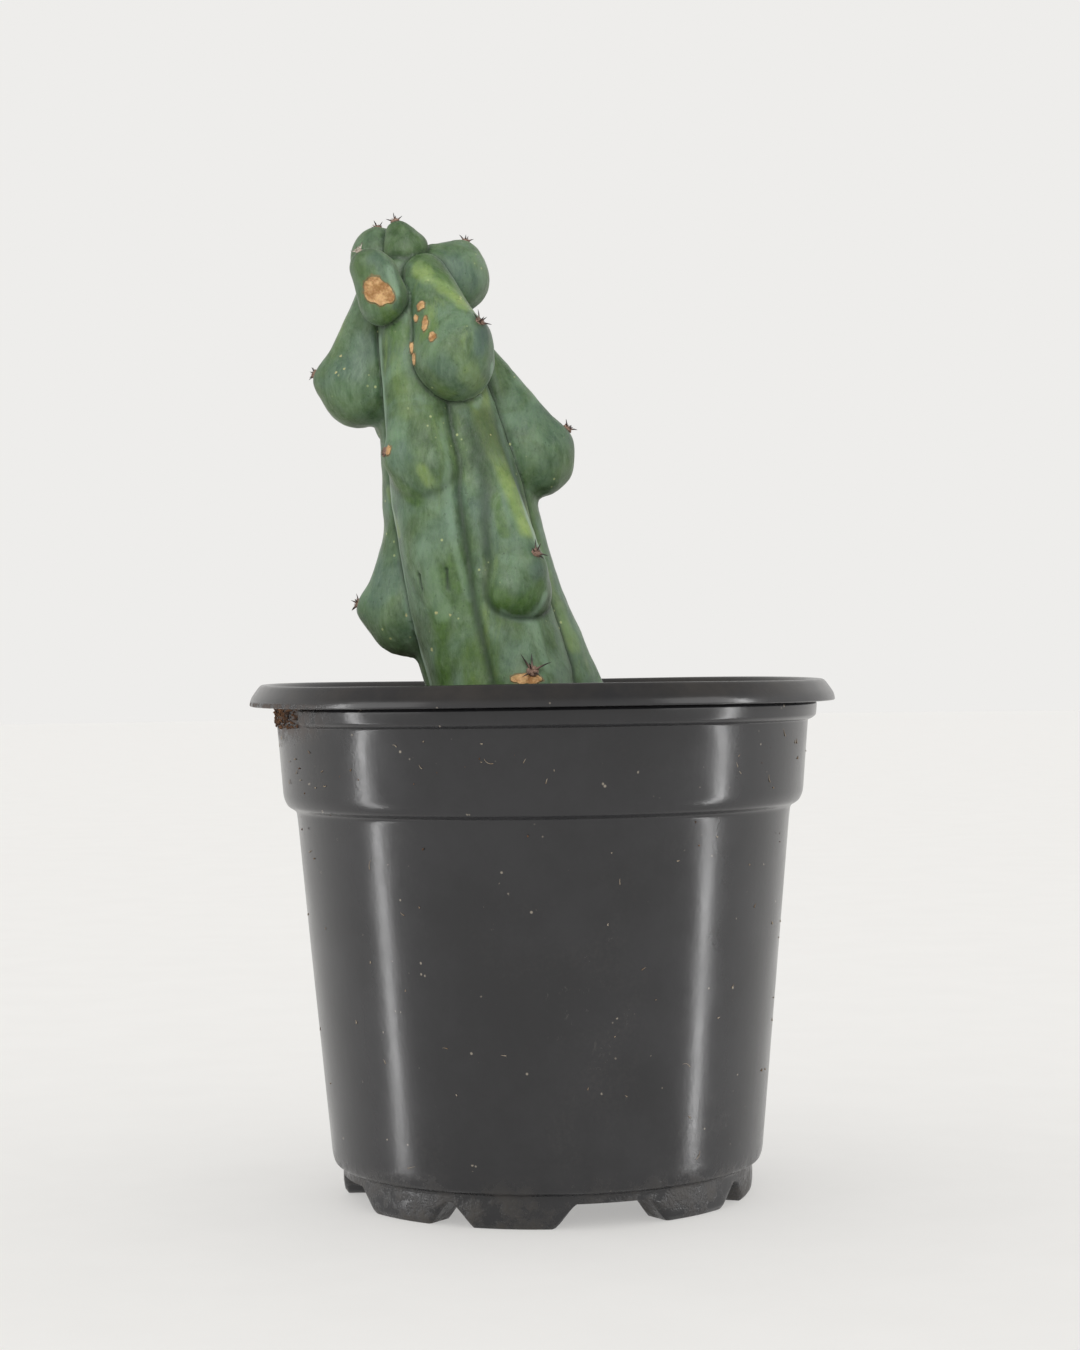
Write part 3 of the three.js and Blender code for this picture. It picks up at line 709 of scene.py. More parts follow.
def lint_fibre():
    """Pale dust flakes and hairs lying on the plastic."""
    s = Shader("lint_fibre")
    colour = s.mix(s.ramp(s.noise(300, 3, 0.6), 0.35, 0.65), rgb(168, 156, 138), rgb(120, 98, 74))
    s.set(Base_Color=colour, Roughness=0.9)
    return s.material


def studio_floor():
    """Plain pale matt studio floor with a faint paper tooth."""
    s = Shader("studio_floor")
    tone = s.mix(s.ramp(s.noise(30, 4, 0.6), 0.2, 0.8), rgb(238, 237, 235), rgb(240, 239, 237))
    s.set(Base_Color=tone, Roughness=0.9, Specular_IOR_Level=0.1)
    s.set(Normal=s.bump(s.noise(900, 3, 0.6), 0.0001, 0.2))
    return s.material


MATERIALS = {}


def finish(maker):
    """The material that a maker function gives, made once."""
    if maker.__name__ not in MATERIALS:
        MATERIALS[maker.__name__] = maker()
    return MATERIALS[maker.__name__]


# ---------------------------------------------------------------- the stem


# The box that the stem fits in, in millimetres.
STEM_BOX = (np.array([-68.0, -40.0, 84.0]), np.array([32.0, 40.0, 272.0]))
# Heights and depths of the skin's relief, in millimetres.
SCAR_EDGE = 0.18
SLIT_DEPTH = 0.8
CREASE_DEPTH = 0.55
AREOLE_DEPTH = 0.35
AREOLE_WIDTH = 1.3
# The dark trail under an areole: how far below it, its half-width and half-height, and its strength.
STAIN_DROP = 2.6
STAIN_HALF = (3.2, 4.6)
STAIN_STRENGTH = {"front_right_upper": 0.7}
COMMON_STAIN = 0.25


def banded_grid(low, high, cell):
    """Distance values on a fine grid, exact near the skin and coarse elsewhere."""
    coarse_cell = cell * 4
    counts = np.ceil((high - low) / coarse_cell).astype(int) + 1
    axes = [low[a] + coarse_cell * (np.arange(counts[a]) + 0.375) for a in range(3)]
    coarse_points = np.stack(np.meshgrid(*axes, indexing="ij"), -1).reshape(-1, 3)
    coarse = stem_distance(coarse_points).reshape(counts)
    fine = coarse.repeat(4, 0).repeat(4, 1).repeat(4, 2)
    near = np.nonzero(np.abs(fine) < coarse_cell * 1.9)
    points = low + cell * np.stack(near, -1)
    fine[near] = stem_distance(points)
    return fine


def stem_surface(cell):
    """Vertices and quads on the skin, facing outwards."""
    low, high = STEM_BOX
    values = banded_grid(low, high, cell)
    grid = openvdb.FloatGrid(FAR)
    grid.copyFromArray(values.astype(np.float32))
    points, _, quads = grid.convertToPolygons(isovalue=0.0)
    points = points.astype(float) * cell + low
    a, b, c = (points[quads[:, corner]] for corner in (0, 1, 2))
    volume = (a * np.cross(b, c)).sum()
    if volume < 0:
        quads = quads[:, ::-1]
    for _ in range(2):
        points = points - skin_normals(points) * stem_distance(points)[:, None] * 0.9
    return points, quads


def on_skin(turn, height):
    """The skin point that lies straight out from the axis at a turn and height, and its normal."""
    reaches = np.arange(50, 0.4, -0.2)
    line = np.array([beside(turn, height, reach) for reach in reaches])
    inside = np.nonzero(stem_distance(line) < 0)[0]
    point = line[inside[0]][None, :]
    normal = skin_normals(point, 0.5)
    point = point - normal * stem_distance(point)[:, None]
    return point[0], normal[0]


def areole_seat(plan):
    """Where a tubercle's areole sits on the skin, and the way that it faces."""
    belly, _, areole, _, _ = tubercle_places(plan)
    outwards = (areole - belly) / np.linalg.norm(areole - belly)
    line = areole + outwards * np.arange(8, -12, -0.05)[:, None]
    inside = np.nonzero(stem_distance(line) < 0)[0]
    point = line[inside[0]]
    normal = skin_normals(point[None, :], 0.6)[0]
    facing = outwards + normal
    return point, facing / np.linalg.norm(facing)


def patch_mask(points, scar):
    """How much of a scar covers each point, 0 to 1, with a ragged edge."""
    centre, normal = on_skin(*scar["at"])
    across = np.cross([0, 0, 1.0], normal)
    across = across / np.linalg.norm(across)
    up = np.cross(normal, across)
    offset = points - centre
    half_width, half_height = scar["half"]
    rise = offset @ up / half_height
    wide = half_width * (1 - scar.get("taper", 0) * np.clip(rise, -1, 1))
    sideways = (offset @ across + scar.get("skew", 0) * (offset @ up)) / wide
    spread = np.sqrt(sideways**2 + rise**2)
    spread += np.abs(offset @ normal) / 9
    ragged = value_noise(points, 1.3, 11) * 0.16 + value_noise(points, 0.6, 12) * 0.08
    return np.clip((1.12 + ragged - spread) / 0.3, 0, 1)


def slit_mask(points):
    """Where the short upright splits lie, 0 to 1."""
    mask = np.zeros(len(points))
    for top, bottom in SLITS:
        start = on_skin(*top)[0]
        end = on_skin(*bottom)[0]
        mask = np.maximum(mask, np.clip(1.2 - round_cone(points, start, 0.2, end, 0.05) / 0.42, 0, 1))
    return mask


def stroke_mask(points, strokes):
    """Where soft-edged strokes of colour lie on the skin, 0 to 1."""
    mask = np.zeros(len(points))
    ragged = value_noise(points, 5, 21) * 0.22 + value_noise(points * np.array([1, 1, 0.3]), 1.6, 22) * 0.3
    for path, half, strength in strokes:
        stops = [on_skin(turn, height)[0] for turn, height in path]
        for start, end in zip(stops, stops[1:] or stops):
            if np.allclose(start, end):
                distance = np.linalg.norm(points - start, axis=1)
            else:
                distance = round_cone(points, start, 0.1, end, 0.1) + 0.1
            cover = np.clip(1.55 + ragged - distance / half, 0, 1)
            mask = np.maximum(mask, strength * cover * cover * (3 - 2 * cover))
    return mask


def spot_mask(points):
    """Where the dried spots lie, 0 to 1."""
    mask = np.zeros(len(points))
    for turn, height, radius in SPOTS:
        centre = on_skin(turn, height)[0]
        mask = np.maximum(mask, np.clip(1.6 - np.linalg.norm(points - centre, axis=1) / radius, 0, 1))
    return mask


def mark_scars(points, relief):
    """Raises or sinks the scars in the relief and gives the mask of their cork."""
    cork = np.zeros(len(points))
    for scar in SCARS:
        mask = patch_mask(points, scar)
        edge = np.exp(-((mask - 0.5) / 0.25) ** 2)
        relief += mask * scar["depth"] + edge * SCAR_EDGE
        cork = np.maximum(cork, mask)
    return cork


def wrinkle(points, normals, relief):
    """Adds broad swells, upright folds that are deeper in the valleys, and fine wrinkles to the relief."""
    valley = stem_distance(points + normals * 2.2) < 1.75
    above = np.clip((points[:, 2] - 118) / 12, 0, 1)
    relief += value_noise(points, 9, 1) * 0.28 + value_noise(points, 4, 2) * 0.12
    stretched = points * np.array([1, 1, 0.22])
    folds = value_noise(stretched, 1.7, 3)
    relief += folds * (0.10 + 0.16 * valley) * above
    relief += value_noise(stretched, 0.9, 4) * 0.05


def mark_tubercles(points, relief):
    """Sinks the areoles in the relief and gives the masks of the stain under them and of the bellies."""
    stain = np.zeros(len(points))
    belly = np.zeros(len(points))
    half_width, half_height = STAIN_HALF
    for name, plan in TUBERCLES.items():
        seat, _ = areole_seat(plan)
        x, y, z = (points - (seat - np.array([0, 0, STAIN_DROP]))).T
        spread = np.sqrt((x / half_width) ** 2 + (y / half_width) ** 2 + (z / half_height) ** 2)
        strength = STAIN_STRENGTH.get(name, COMMON_STAIN)
        stain = np.maximum(stain, strength * np.clip(1.3 - spread, 0, 1))
        relief -= AREOLE_DEPTH * np.exp(-(np.linalg.norm(points - seat, axis=1) / AREOLE_WIDTH) ** 2)
        centre, _, _, _, girth = tubercle_places(plan)
        swollen = 1 - np.linalg.norm(points - centre, axis=1) / (girth * 1.7)
        belly = np.maximum(belly, np.clip(swollen * 1.8, 0, 1))
    return stain, belly


def build_stem(cell):
    """The stem as one closed skin, with relief and the masks that its material reads."""
    points, quads = stem_surface(cell)
    normals = skin_normals(points)
    _, crease = stem_distance(points, with_crease=True)
    relief = np.zeros(len(points))
    cork = mark_scars(points, relief)
    slits = slit_mask(points)
    relief -= slits * SLIT_DEPTH
    wrinkle(points, normals, relief)
    relief -= crease * CREASE_DEPTH
    stain, belly = mark_tubercles(points, relief)
    points = points + normals * relief[:, None]
    mesh = mesh_from("cactus_flesh", points, quads)
    # The crease mask, slits included, is where the material paints shade.
    masks = {"crease": np.clip(crease + slits, 0, 1), "belly": belly, "cork": cork, "stain": stain}
    # The pale strokes are painted highlights along the rib edges.
    for name, strokes in (("sunned", SUNNED), ("lush", LUSH), ("pale", PAINTED_HIGHLIGHTS), ("dusky", DUSKY)):
        masks[name] = stroke_mask(points, strokes)
    masks["spot"] = spot_mask(points)
    for name, values in masks.items():
        write_attribute(mesh, name, values)
    return new_object("cactus_flesh", mesh, finish(cactus_skin))


# ---------------------------------------------------------------- spines


def tube_faces(faces, start, rings, sides):
    """Adds the quads between a tube's rings of vertices and a cap at each end."""
    for ring in range(rings - 1):
        for step in range(sides):
            a = start + ring * sides + step
            b = start + ring * sides + (step + 1) % sides
            faces.append((a, b, b + sides, a + sides))
    faces.append(tuple(range(start + sides - 1, start - 1, -1)))
    faces.append(tuple(range(start + (rings - 1) * sides, start + rings * sides)))


def tapered_spine(vertices, faces, shades, root, tip, sag, radius, sides=7, rings=6):
    """Adds one curved tapering spine to the lists."""
    start = len(vertices)
    along = tip - root
    side = Vector(along).orthogonal().normalized()
    other = Vector(along).cross(side).normalized()
    for ring in range(rings):
        share = ring / (rings - 1)
        centre = root + along * share + sag * math.sin(math.pi * share * 0.9)
        girth = radius * (1 - share) ** 0.75 + 0.02
        girth *= 1.25 if ring == 0 else 1
        for step in range(sides):
            angle = 2 * math.pi * step / sides
            offset = side * math.cos(angle) * girth + other * math.sin(angle) * girth
            vertices.append(centre + np.array(offset))
            shades.append(share)
    tube_faces(faces, start, rings, sides)


def felt_pad(vertices, faces, shades, radius, height, rng):
    """Adds a closed low cushion of felt round z = 0, uneven all over, and gives the vertex count so far."""
    start = len(vertices)
    sides = 22
    levels = [(1.0, -0.25), (1.06, 0.1), (0.98, 0.5), (0.74, 0.85), (0.42, 1.0)]
    for width, rise in levels:
        for step in range(sides):
            angle = 2 * math.pi * step / sides
            uneven = 1 + rng.uniform(-0.13, 0.13)
            place = (radius * width * uneven * math.cos(angle), radius * width * uneven * math.sin(angle))
            vertices.append(np.array([place[0], place[1], height * rise * (1 + rng.uniform(-0.1, 0.1))]))
            shades.append(0)
    tube_faces(faces, start, len(levels), sides)
    return len(vertices)


# How each areole's spines grow: count, length, spread from straight out in degrees, and thickness;
# and the radius of its felt pad.
SPINE_HABITS = {
    "front_right_upper": dict(count=6, length=3.0, spread=66, thick=0.30, pad=1.35),
    "front_right_middle": dict(count=6, length=3.3, spread=64, thick=0.30, pad=1.4),
    "front_right_lower": dict(count=6, length=5.0, spread=62, thick=0.36, pad=1.6),
    "front_left_crown": dict(count=5, length=2.1, spread=60, thick=0.24, pad=0.85),
    "front_left_middle": dict(count=3, length=1.3, spread=60, thick=0.26, pad=1.3),
    "left_lower": dict(count=6, length=2.7, spread=62, thick=0.28, pad=1.25),
    "right_middle": dict(count=6, length=2.2, spread=60, thick=0.27, pad=1.3),
}
COMMON_HABIT = dict(count=5, length=2.3, spread=58, thick=0.26, pad=1.2)
PALE_SPINED = ("front_left_crown",)
PAD_HEIGHT = 0.75
PAD_SUNK = 0.25
WOOL_HAIRS = 46
HAIR_RADIUS = 0.045


def build_spines(name, plan, seed):
    """One areole: a felt pad on the skin with spines spreading from it and fine wool round them."""
    rng = random.Random(seed)
    habit = SPINE_HABITS.get(name, COMMON_HABIT)
    vertices, faces, shades = [], [], []
    pad_end = felt_pad(vertices, faces, shades, habit["pad"], PAD_HEIGHT, rng)
    for index in range(habit["count"]):
        central = index == 0
        lean = math.radians(rng.uniform(4, 22) if central else habit["spread"] + rng.uniform(-12, 10))
        turn = 2 * math.pi * (index + rng.uniform(-0.22, 0.22)) / max(habit["count"] - 1, 1)
        length = habit["length"] * (rng.uniform(0.55, 0.8) if central else rng.uniform(0.8, 1.15))
        flat = math.sin(lean)
        heading = np.array([flat * math.cos(turn), flat * math.sin(turn), math.cos(lean)])
        root = heading * np.array([0.55, 0.55, 0]) + np.array([0, 0, 0.2])
        sag = np.array([0, 0, 0.12 * length * rng.uniform(-0.4, 1)])
        thick = habit["thick"] * rng.uniform(0.85, 1.1)
        tapered_spine(vertices, faces, shades, root, root + heading * length, sag, thick)
    spine_end = len(vertices)
    for _ in range(WOOL_HAIRS):
        turn = rng.uniform(0, 2 * math.pi)
        reach = habit["pad"] * math.sqrt(rng.uniform(0, 0.9))
        root = np.array([reach * math.cos(turn), reach * math.sin(turn), 0.35])
        stray = np.array([rng.uniform(-0.5, 0.5), rng.uniform(-0.5, 0.5), rng.uniform(0.35, 0.85)])
        hair_root = len(vertices)
        tapered_spine(
            vertices, faces, shades, root, root + stray, np.zeros(3), HAIR_RADIUS, sides=3, rings=3
        )
        for place in range(hair_root, len(vertices)):
            shades[place] = 0
    seat, facing = areole_seat(plan)
    spin = Quaternion(Vector(facing), rng.uniform(0, 2 * math.pi))
    turn = spin @ Vector((0, 0, 1)).rotation_difference(Vector(facing))
    matrix = Matrix.Translation(Vector(seat - facing * PAD_SUNK)) @ turn.to_matrix().to_4x4()
    placed = [np.array(matrix @ Vector(v)) for v in vertices]
    mesh = mesh_from("areole_" + name, placed, faces)
    pad = [1.0 if i < pad_end or i >= spine_end else 0.0 for i in range(len(placed))]
    write_attribute(mesh, "shade", shades)
    write_attribute(mesh, "pad", pad)
    maker = pale_spine_horn if name in PALE_SPINED else spine_horn
    return new_object("areole_" + name, mesh, finish(maker))


# ---------------------------------------------------------------- the pot

# Sizes of the moulding in millimetres and turns in degrees from the front. The bead under the lip
# runs from its start to its end and leaves the rest of the way round plain.
FLOOR_UNDERSIDE = 6.5
FOOT_RING_RADIUS = 55.9
WALL = 1.3
BEAD_PROUD = 2.1
BEAD_START = -60
BEAD_END = 215
BEAD_MIDDLE = 131.2
BEAD_HALF = 2.7
BEAD_RUN = 1.3
FOOT_TURNS = [quarter + offset for quarter in (0, 90, 180, 270) for offset in (-9.6, -45.0)]
FOOT_HALF_TOP = 16.9
FOOT_HALF_BOTTOM = 11.0
DRAIN_TURNS = (18, 108, 198, 288)
DRAIN_RING = 36
DRAIN_RADIUS = 4.5


def around(turn, reach, height):
    """The point at a turn in degrees from the front, a reach from the pot's axis and a height."""
    angle = math.radians(turn)
    return (reach * math.sin(angle), -reach * math.cos(angle), height)


def collar_radius(height):
    """The outer radius of the collar under the lip."""
    return float(np.interp(height, [108.4, 134], [70.9, 73]))


def turned_faces(rings, segments):
    """Faces of a closed turned skin: bands between its rings, and fans to the two middles after them."""
    faces = []
    for ring in range(rings - 1):
        for step in range(segments):
            a = ring * segments + step
            b = ring * segments + (step + 1) % segments
            faces.append((a, a + segments, b + segments, b))
    first_middle = rings * segments
    last = (rings - 1) * segments
    for step in range(segments):
        following = (step + 1) % segments
        faces.append((first_middle, step, following))
        faces.append((first_middle + 1, last + following, last + step))
    return faces


def pot_corners():
    """The moulding's section as corners: radius, height, fillet, radius with bead, height at a foot."""
    def plain(radius, height, fillet=0.0, bead=None, foot=None):
        bead_radius = radius if bead is None else bead
        return (radius, height, fillet, bead_radius, height if foot is None else foot)

    under = FLOOR_UNDERSIDE
    corners = [
        plain(0.6, under + WALL),
        plain(55.0, under + WALL, 2.5),
        plain(57.4, 12.0, 2.0),
        plain(66.0, 106.0, 1.4),
        plain(69.5, 109.4, 1.6),
        plain(71.7, 134.5, 2.0),
        plain(73.9, 138.0, 1.8),
        plain(75.6, POT_HEIGHT, 0.9),
        plain(77.0, POT_HEIGHT, 1.3),
        plain(79.6, 135.9, 1.2),
        plain(RIM_RADIUS, 133.8, 0.5),
        plain(78.5, 133.7, 0.3),
        plain(77.6, 135.6, 0.8),
        plain(76.2, 137.2, 0.7),
        plain(74.6, 136.4, 0.8),
        plain(73.1, 134.3, 0.5),
    ]
    for height, proud in ((133.6, 0.75), (133.0, 1.0), (129.8, 1.0), (128.9, 0.55), (128.5, 0.0)):
        wall = collar_radius(height)
        corners.append(plain(wall, height, 0.35, bead=wall + BEAD_PROUD * proud))
    corners += [
        plain(70.95, 108.9, 1.3),
        plain(69.9, 106.6, 0.9),
        plain(67.5, 105.2, 0.9),
        plain(67.1, 102.0, 1.2),
        plain(58.8, 12.0, 1.6),
        plain(58.1, 9.6, 1.0),
        plain(56.3, 8.9, 0.7),
        plain(FOOT_RING_RADIUS, 8.2, 0.3),
        plain(FOOT_RING_RADIUS, under, 0.3, foot=3.6),
        plain(55.6, under, 0.2, foot=1.3),
        plain(54.6, under, 0.2, foot=0.0),
        plain(46.8, under, 0.2, foot=0.0),
        plain(45.6, under, 0.2, foot=1.4),
        plain(44.8, under, 0.2, foot=4.8),
        plain(44.0, under, 0.2, foot=under),
        plain(30.0, under, 0.2),
        plain(29.4, under - 0.5, 0.2),
        plain(28.4, under - 0.5, 0.2),
        plain(27.8, under, 0.2),
        plain(0.6, under),
    ]
    return corners


def rounded_section(corners, arc_steps=4, longest=6.0):
    """The section with its corners filleted and its long runs divided."""
    section = []
    for index, corner in enumerate(corners):
        here = np.array([corner[0], corner[1], corner[3], corner[4]])
        fillet = corner[2]
        if fillet <= 0 or index in (0, len(corners) - 1):
            section.append(here)
            continue
        neighbours = [np.array([c[0], c[1], c[3], c[4]]) for c in (corners[index - 1], corners[index + 1])]
        reach = [min(0.45, fillet / max(np.linalg.norm(n[:2] - here[:2]), 1e-6)) for n in neighbours]
        start, end = (here + (n - here) * r for n, r in zip(neighbours, reach))
        for step in range(arc_steps + 1):
            share = step / arc_steps
            a = start + (here - start) * share
            b = here + (end - here) * share
            section.append(a + (b - a) * share)
    divided = [section[0]]
    for point in section[1:]:
        last = divided[-1]
        parts = max(1, math.ceil(np.linalg.norm(point[:2] - last[:2]) / longest))
        divided += [last + (point - last) * (part + 1) / parts for part in range(parts)]
    return np.array(divided)


def turn_gap(turns, centre):
    """How many degrees lie between turns and a centre, the short way round."""
    return np.abs((turns - centre + 180) % 360 - 180)


def smooth_step(value, low, high):
    """0 at low and 1 at high, with soft ends."""
    share = np.clip((value - low) / (high - low), 0, 1)
    return share * share * (3 - 2 * share)


def build_pot(segments):
    """The whole pot as one thin-walled closed moulding."""
    section = rounded_section(pot_corners())
    turns = np.arange(segments) * 360 / segments
    foot = np.zeros(segments)
    for centre in FOOT_TURNS:
        ramp = (turn_gap(turns, centre) - FOOT_HALF_BOTTOM) / (FOOT_HALF_TOP - FOOT_HALF_BOTTOM)
        foot = np.maximum(foot, 1 - np.clip(ramp, 0, 1) ** 1.15)
    radius, height, bead_radius, foot_height = section.T
    rounding = 1 - np.sqrt(np.clip(1 - ((height - BEAD_MIDDLE) / BEAD_HALF) ** 2, 0, 1))
    from_start = (turns[None, :] - BEAD_START + 180) % 360 - 180 - rounding[:, None] * 2.0
    from_end = (BEAD_END - turns[None, :] + 180) % 360 - 180 - rounding[:, None] * 2.0
    inside_arc = ((turns - BEAD_START) % 360) < (BEAD_END - BEAD_START)
    near_start = turn_gap(turns, BEAD_START) < 20
    near_end = turn_gap(turns, BEAD_END) < 20
    window = np.where(near_start, smooth_step(from_start, 0, BEAD_RUN), inside_arc.astype(float))
    window = np.where(near_end, smooth_step(from_end, 0, BEAD_RUN), window)
    r = radius[:, None] + (bead_radius - radius)[:, None] * window
    z = height[:, None] + (foot_height - height)[:, None] * foot[None, :]
    angle = np.radians(turns)[None, :]
    upper = smooth_step(height, 60, 139)[:, None]
    r = r + upper * (0.22 * np.sin(2 * angle + 0.6) + 0.10 * np.sin(5 * angle))
    z = z + smooth_step(height, 120, 139)[:, None] * 0.22 * np.sin(3 * angle + 1.1)
    x = r * np.sin(angle)
    y = -r * np.cos(angle)
    vertices = np.stack([x, y, z], -1).reshape(-1, 3)
    vertices = np.vstack([vertices, [0, 0, section[0][1]], [0, 0, section[-1][1]]])
    mesh = mesh_from("pot_moulding", vertices, turned_faces(len(section), segments))
    face_outwards(mesh)
    pot = new_object("pot_moulding", mesh, finish(pot_plastic))
    cut_drain_holes(pot)
    mesh = pot.data
    mesh.polygons.foreach_set("use_smooth", [True] * len(mesh.polygons))
    return pot


def face_outwards(mesh):
    """Recalculates a closed mesh's faces to point outwards."""
    shape = bmesh.new()
    shape.from_mesh(mesh)
    bmesh.ops.remove_doubles(shape, verts=shape.verts, dist=1e-7)
    bmesh.ops.recalc_face_normals(shape, faces=shape.faces)
    shape.to_mesh(mesh)
    shape.free()


def cut_drain_holes(pot):
    """Cuts the drain holes through the floor: one in the middle and one in line with each wide gap."""
    centres = [(0.0, 0.0, FLOOR_UNDERSIDE)]
    centres += [around(turn, DRAIN_RING, FLOOR_UNDERSIDE) for turn in DRAIN_TURNS]
    size = DRAIN_RADIUS * MM
    shape = bmesh.new()
    for centre in centres:
        place = Matrix.Translation(Vector(centre) * MM)
        bmesh.ops.create_cone(
            shape, cap_ends=True, segments=40, radius1=size, radius2=size, depth=8 * MM, matrix=place
        )
    cutter_mesh = bpy.data.meshes.new("drain_cutter")
    shape.to_mesh(cutter_mesh)
    shape.free()
    cutter = new_object("drain_cutter", cutter_mesh, smooth=False)
    cut = pot.modifiers.new("drain", "BOOLEAN")
    cut.operation = "DIFFERENCE"
    cut.object = cutter
    cut.solver = "EXACT"
    bpy.context.view_layer.update()
    apply_modifiers(pot)
    bpy.data.objects.remove(cutter)


# ---------------------------------------------------------------- scattered grains


def grain_tree():
    """Geometry nodes that scatter uneven grains over a surface and give them one material."""
    tree = bpy.data.node_groups.new("scattered_grains", "GeometryNodeTree")
    face = tree.interface
    face.new_socket("Geometry", in_out="INPUT", socket_type="NodeSocketGeometry")
    for name, value in (("Density", 1e5), ("Smallest", 0.0005), ("Largest", 0.001), ("Flatness", 0.8)):
        socket = face.new_socket(name, in_out="INPUT", socket_type="NodeSocketFloat")
        socket.default_value = value
    face.new_socket("Seed", in_out="INPUT", socket_type="NodeSocketInt")
    face.new_socket("Grain material", in_out="INPUT", socket_type="NodeSocketMaterial")
    face.new_socket("Geometry", in_out="OUTPUT", socket_type="NodeSocketGeometry")

    def add(kind, **settings):
        node = tree.nodes.new(kind)
        for key, value in settings.items():
            setattr(node, key, value)
        return node

    link = tree.links.new
    given = add("NodeGroupInput").outputs
    scatter = add("GeometryNodeDistributePointsOnFaces")
    link(given["Geometry"], scatter.inputs["Mesh"])
    link(given["Density"], scatter.inputs["Density"])
    link(given["Seed"], scatter.inputs["Seed"])
    pebble = add("GeometryNodeMeshIcoSphere")
    pebble.inputs["Radius"].default_value = 1.0
    pebble.inputs["Subdivisions"].default_value = 2
    uneven = add("ShaderNodeTexNoise")
    uneven.inputs["Scale"].default_value = 1.4
    centred = add("ShaderNodeVectorMath", operation="SUBTRACT")
    link(uneven.outputs["Color"], centred.inputs[0])
    centred.inputs[1].default_value = (0.5, 0.5, 0.5)
    push = add("GeometryNodeSetPosition")
    link(pebble.outputs["Mesh"], push.inputs["Geometry"])
    link(centred.outputs["Vector"], push.inputs["Offset"])
    spin = add("FunctionNodeRandomValue", data_type="FLOAT_VECTOR")
    spin.inputs["Max"].default_value = (math.tau, math.tau, math.tau)
    link(given["Seed"], spin.inputs["Seed"])
    girth = add("FunctionNodeRandomValue", data_type="FLOAT")
    girth_in = [s for s in girth.inputs if s.enabled]
    link(given["Smallest"], girth_in[0])
    link(given["Largest"], girth_in[1])
    link(given["Seed"], girth.inputs["Seed"])
    girth_out = [s for s in girth.outputs if s.enabled][0]
    shape = add("ShaderNodeCombineXYZ")
    flatter = add("ShaderNodeMath", operation="MULTIPLY")
    link(girth_out, flatter.inputs[0])
    link(given["Flatness"], flatter.inputs[1])
    link(girth_out, shape.inputs["X"])
    link(flatter.outputs["Value"], shape.inputs["Y"])
    link(flatter.outputs["Value"], shape.inputs["Z"])
    copies = add("GeometryNodeInstanceOnPoints")
    link(scatter.outputs["Points"], copies.inputs["Points"])
    link(push.outputs["Geometry"], copies.inputs["Instance"])
    link([s for s in spin.outputs if s.enabled][0], copies.inputs["Rotation"])
    link(shape.outputs["Vector"], copies.inputs["Scale"])
    solid = add("GeometryNodeRealizeInstances")
    link(copies.outputs["Instances"], solid.inputs["Geometry"])
    coat = add("GeometryNodeSetMaterial")
    link(solid.outputs["Geometry"], coat.inputs["Geometry"])
    link(given["Grain material"], coat.inputs["Material"])
    result = add("NodeGroupOutput")
    link(coat.outputs["Geometry"], result.inputs["Geometry"])
    return tree


def scatter_grains(name, bed, material, **sizes):
    """Scatters grains over the bed mesh and returns them as one plain mesh object."""
    tree = bpy.data.node_groups.get("scattered_grains") or grain_tree()
    grains = new_object(name, bed)
    layer = grains.modifiers.new("grains", "NODES")
    layer.node_group = tree
    settings = {key.replace("_", " ").capitalize(): value for key, value in sizes.items()}
    settings["Grain material"] = material
    for item in tree.interface.items_tree:
        if item.in_out == "INPUT" and item.name in settings:
            layer[item.identifier] = settings[item.name]
    bpy.context.view_layer.update()
    mesh = apply_modifiers(grains)
    mesh.name = name
    mesh.polygons.foreach_set("use_smooth", [True] * len(mesh.polygons))
    if not len(mesh.polygons):
        raise RuntimeError(name + " scattered no grains")
    return grains


# ---------------------------------------------------------------- soil


# The gap between soil and pot, the strip by the wall that grains keep off, and the same by the stem.
SOIL_GAP = 0.15
WALL_GAP = 1.2
STEM_GAP = 0.4


def soil_height(x, y):
    """The soil's uneven top: lumps, and a slope down to the wall."""
    points = np.stack([x, y, np.zeros_like(x)], -1)
    lumps = value_noise(points, 13, 21) * 1.0 + value_noise(points, 5, 22) * 0.55
    lumps += value_noise(points, 2.2, 23) * 0.3
    radius = np.hypot(x, y)
    return SOIL_TOP + 0.4 + lumps - 0.9 * smooth_step(radius, 60, 70)


def wall_inside(height):
    """The radius of the pot's inner wall, a little in."""
    heights = [8, 12.0, 106, 109.4, 134.5]
    radii = [54.6, 57.2, 65.8, 69.3, 71.5]
    return float(np.interp(height, heights, radii)) - SOIL_GAP


def build_soil(segments=220, rings=64):
    """The plug of potting mix, closed, with a lumpy top."""
    rim = wall_inside(SOIL_TOP)
    angle = np.arange(segments) * math.tau / segments
    vertices = []
    for ring in range(1, rings + 1):
        radius = rim * ring / rings
        x = radius * np.sin(angle)
        y = -radius * np.cos(angle)
        vertices.append(np.stack([x, y, soil_height(x, y)], -1))
    floor = FLOOR_UNDERSIDE + WALL + SOIL_GAP
    below = [(wall_inside(height), height) for height in (118.0, 109.6, 106.2, 60.0, 12.4, floor)]
    for radius, height in below + [(38.0, floor), (18.0, floor)]:
        flat = np.full(segments, height)
        vertices.append(np.stack([radius * np.sin(angle), -radius * np.cos(angle), flat], -1))
    middle = soil_height(np.zeros(1), np.zeros(1))[0]
    points = np.vstack([*vertices, [0, 0, middle], [0, 0, floor]])
    mesh = mesh_from("soil_bed", points, turned_faces(len(vertices), segments))
    face_outwards(mesh)
    return new_object("soil_bed", mesh, finish(damp_soil))


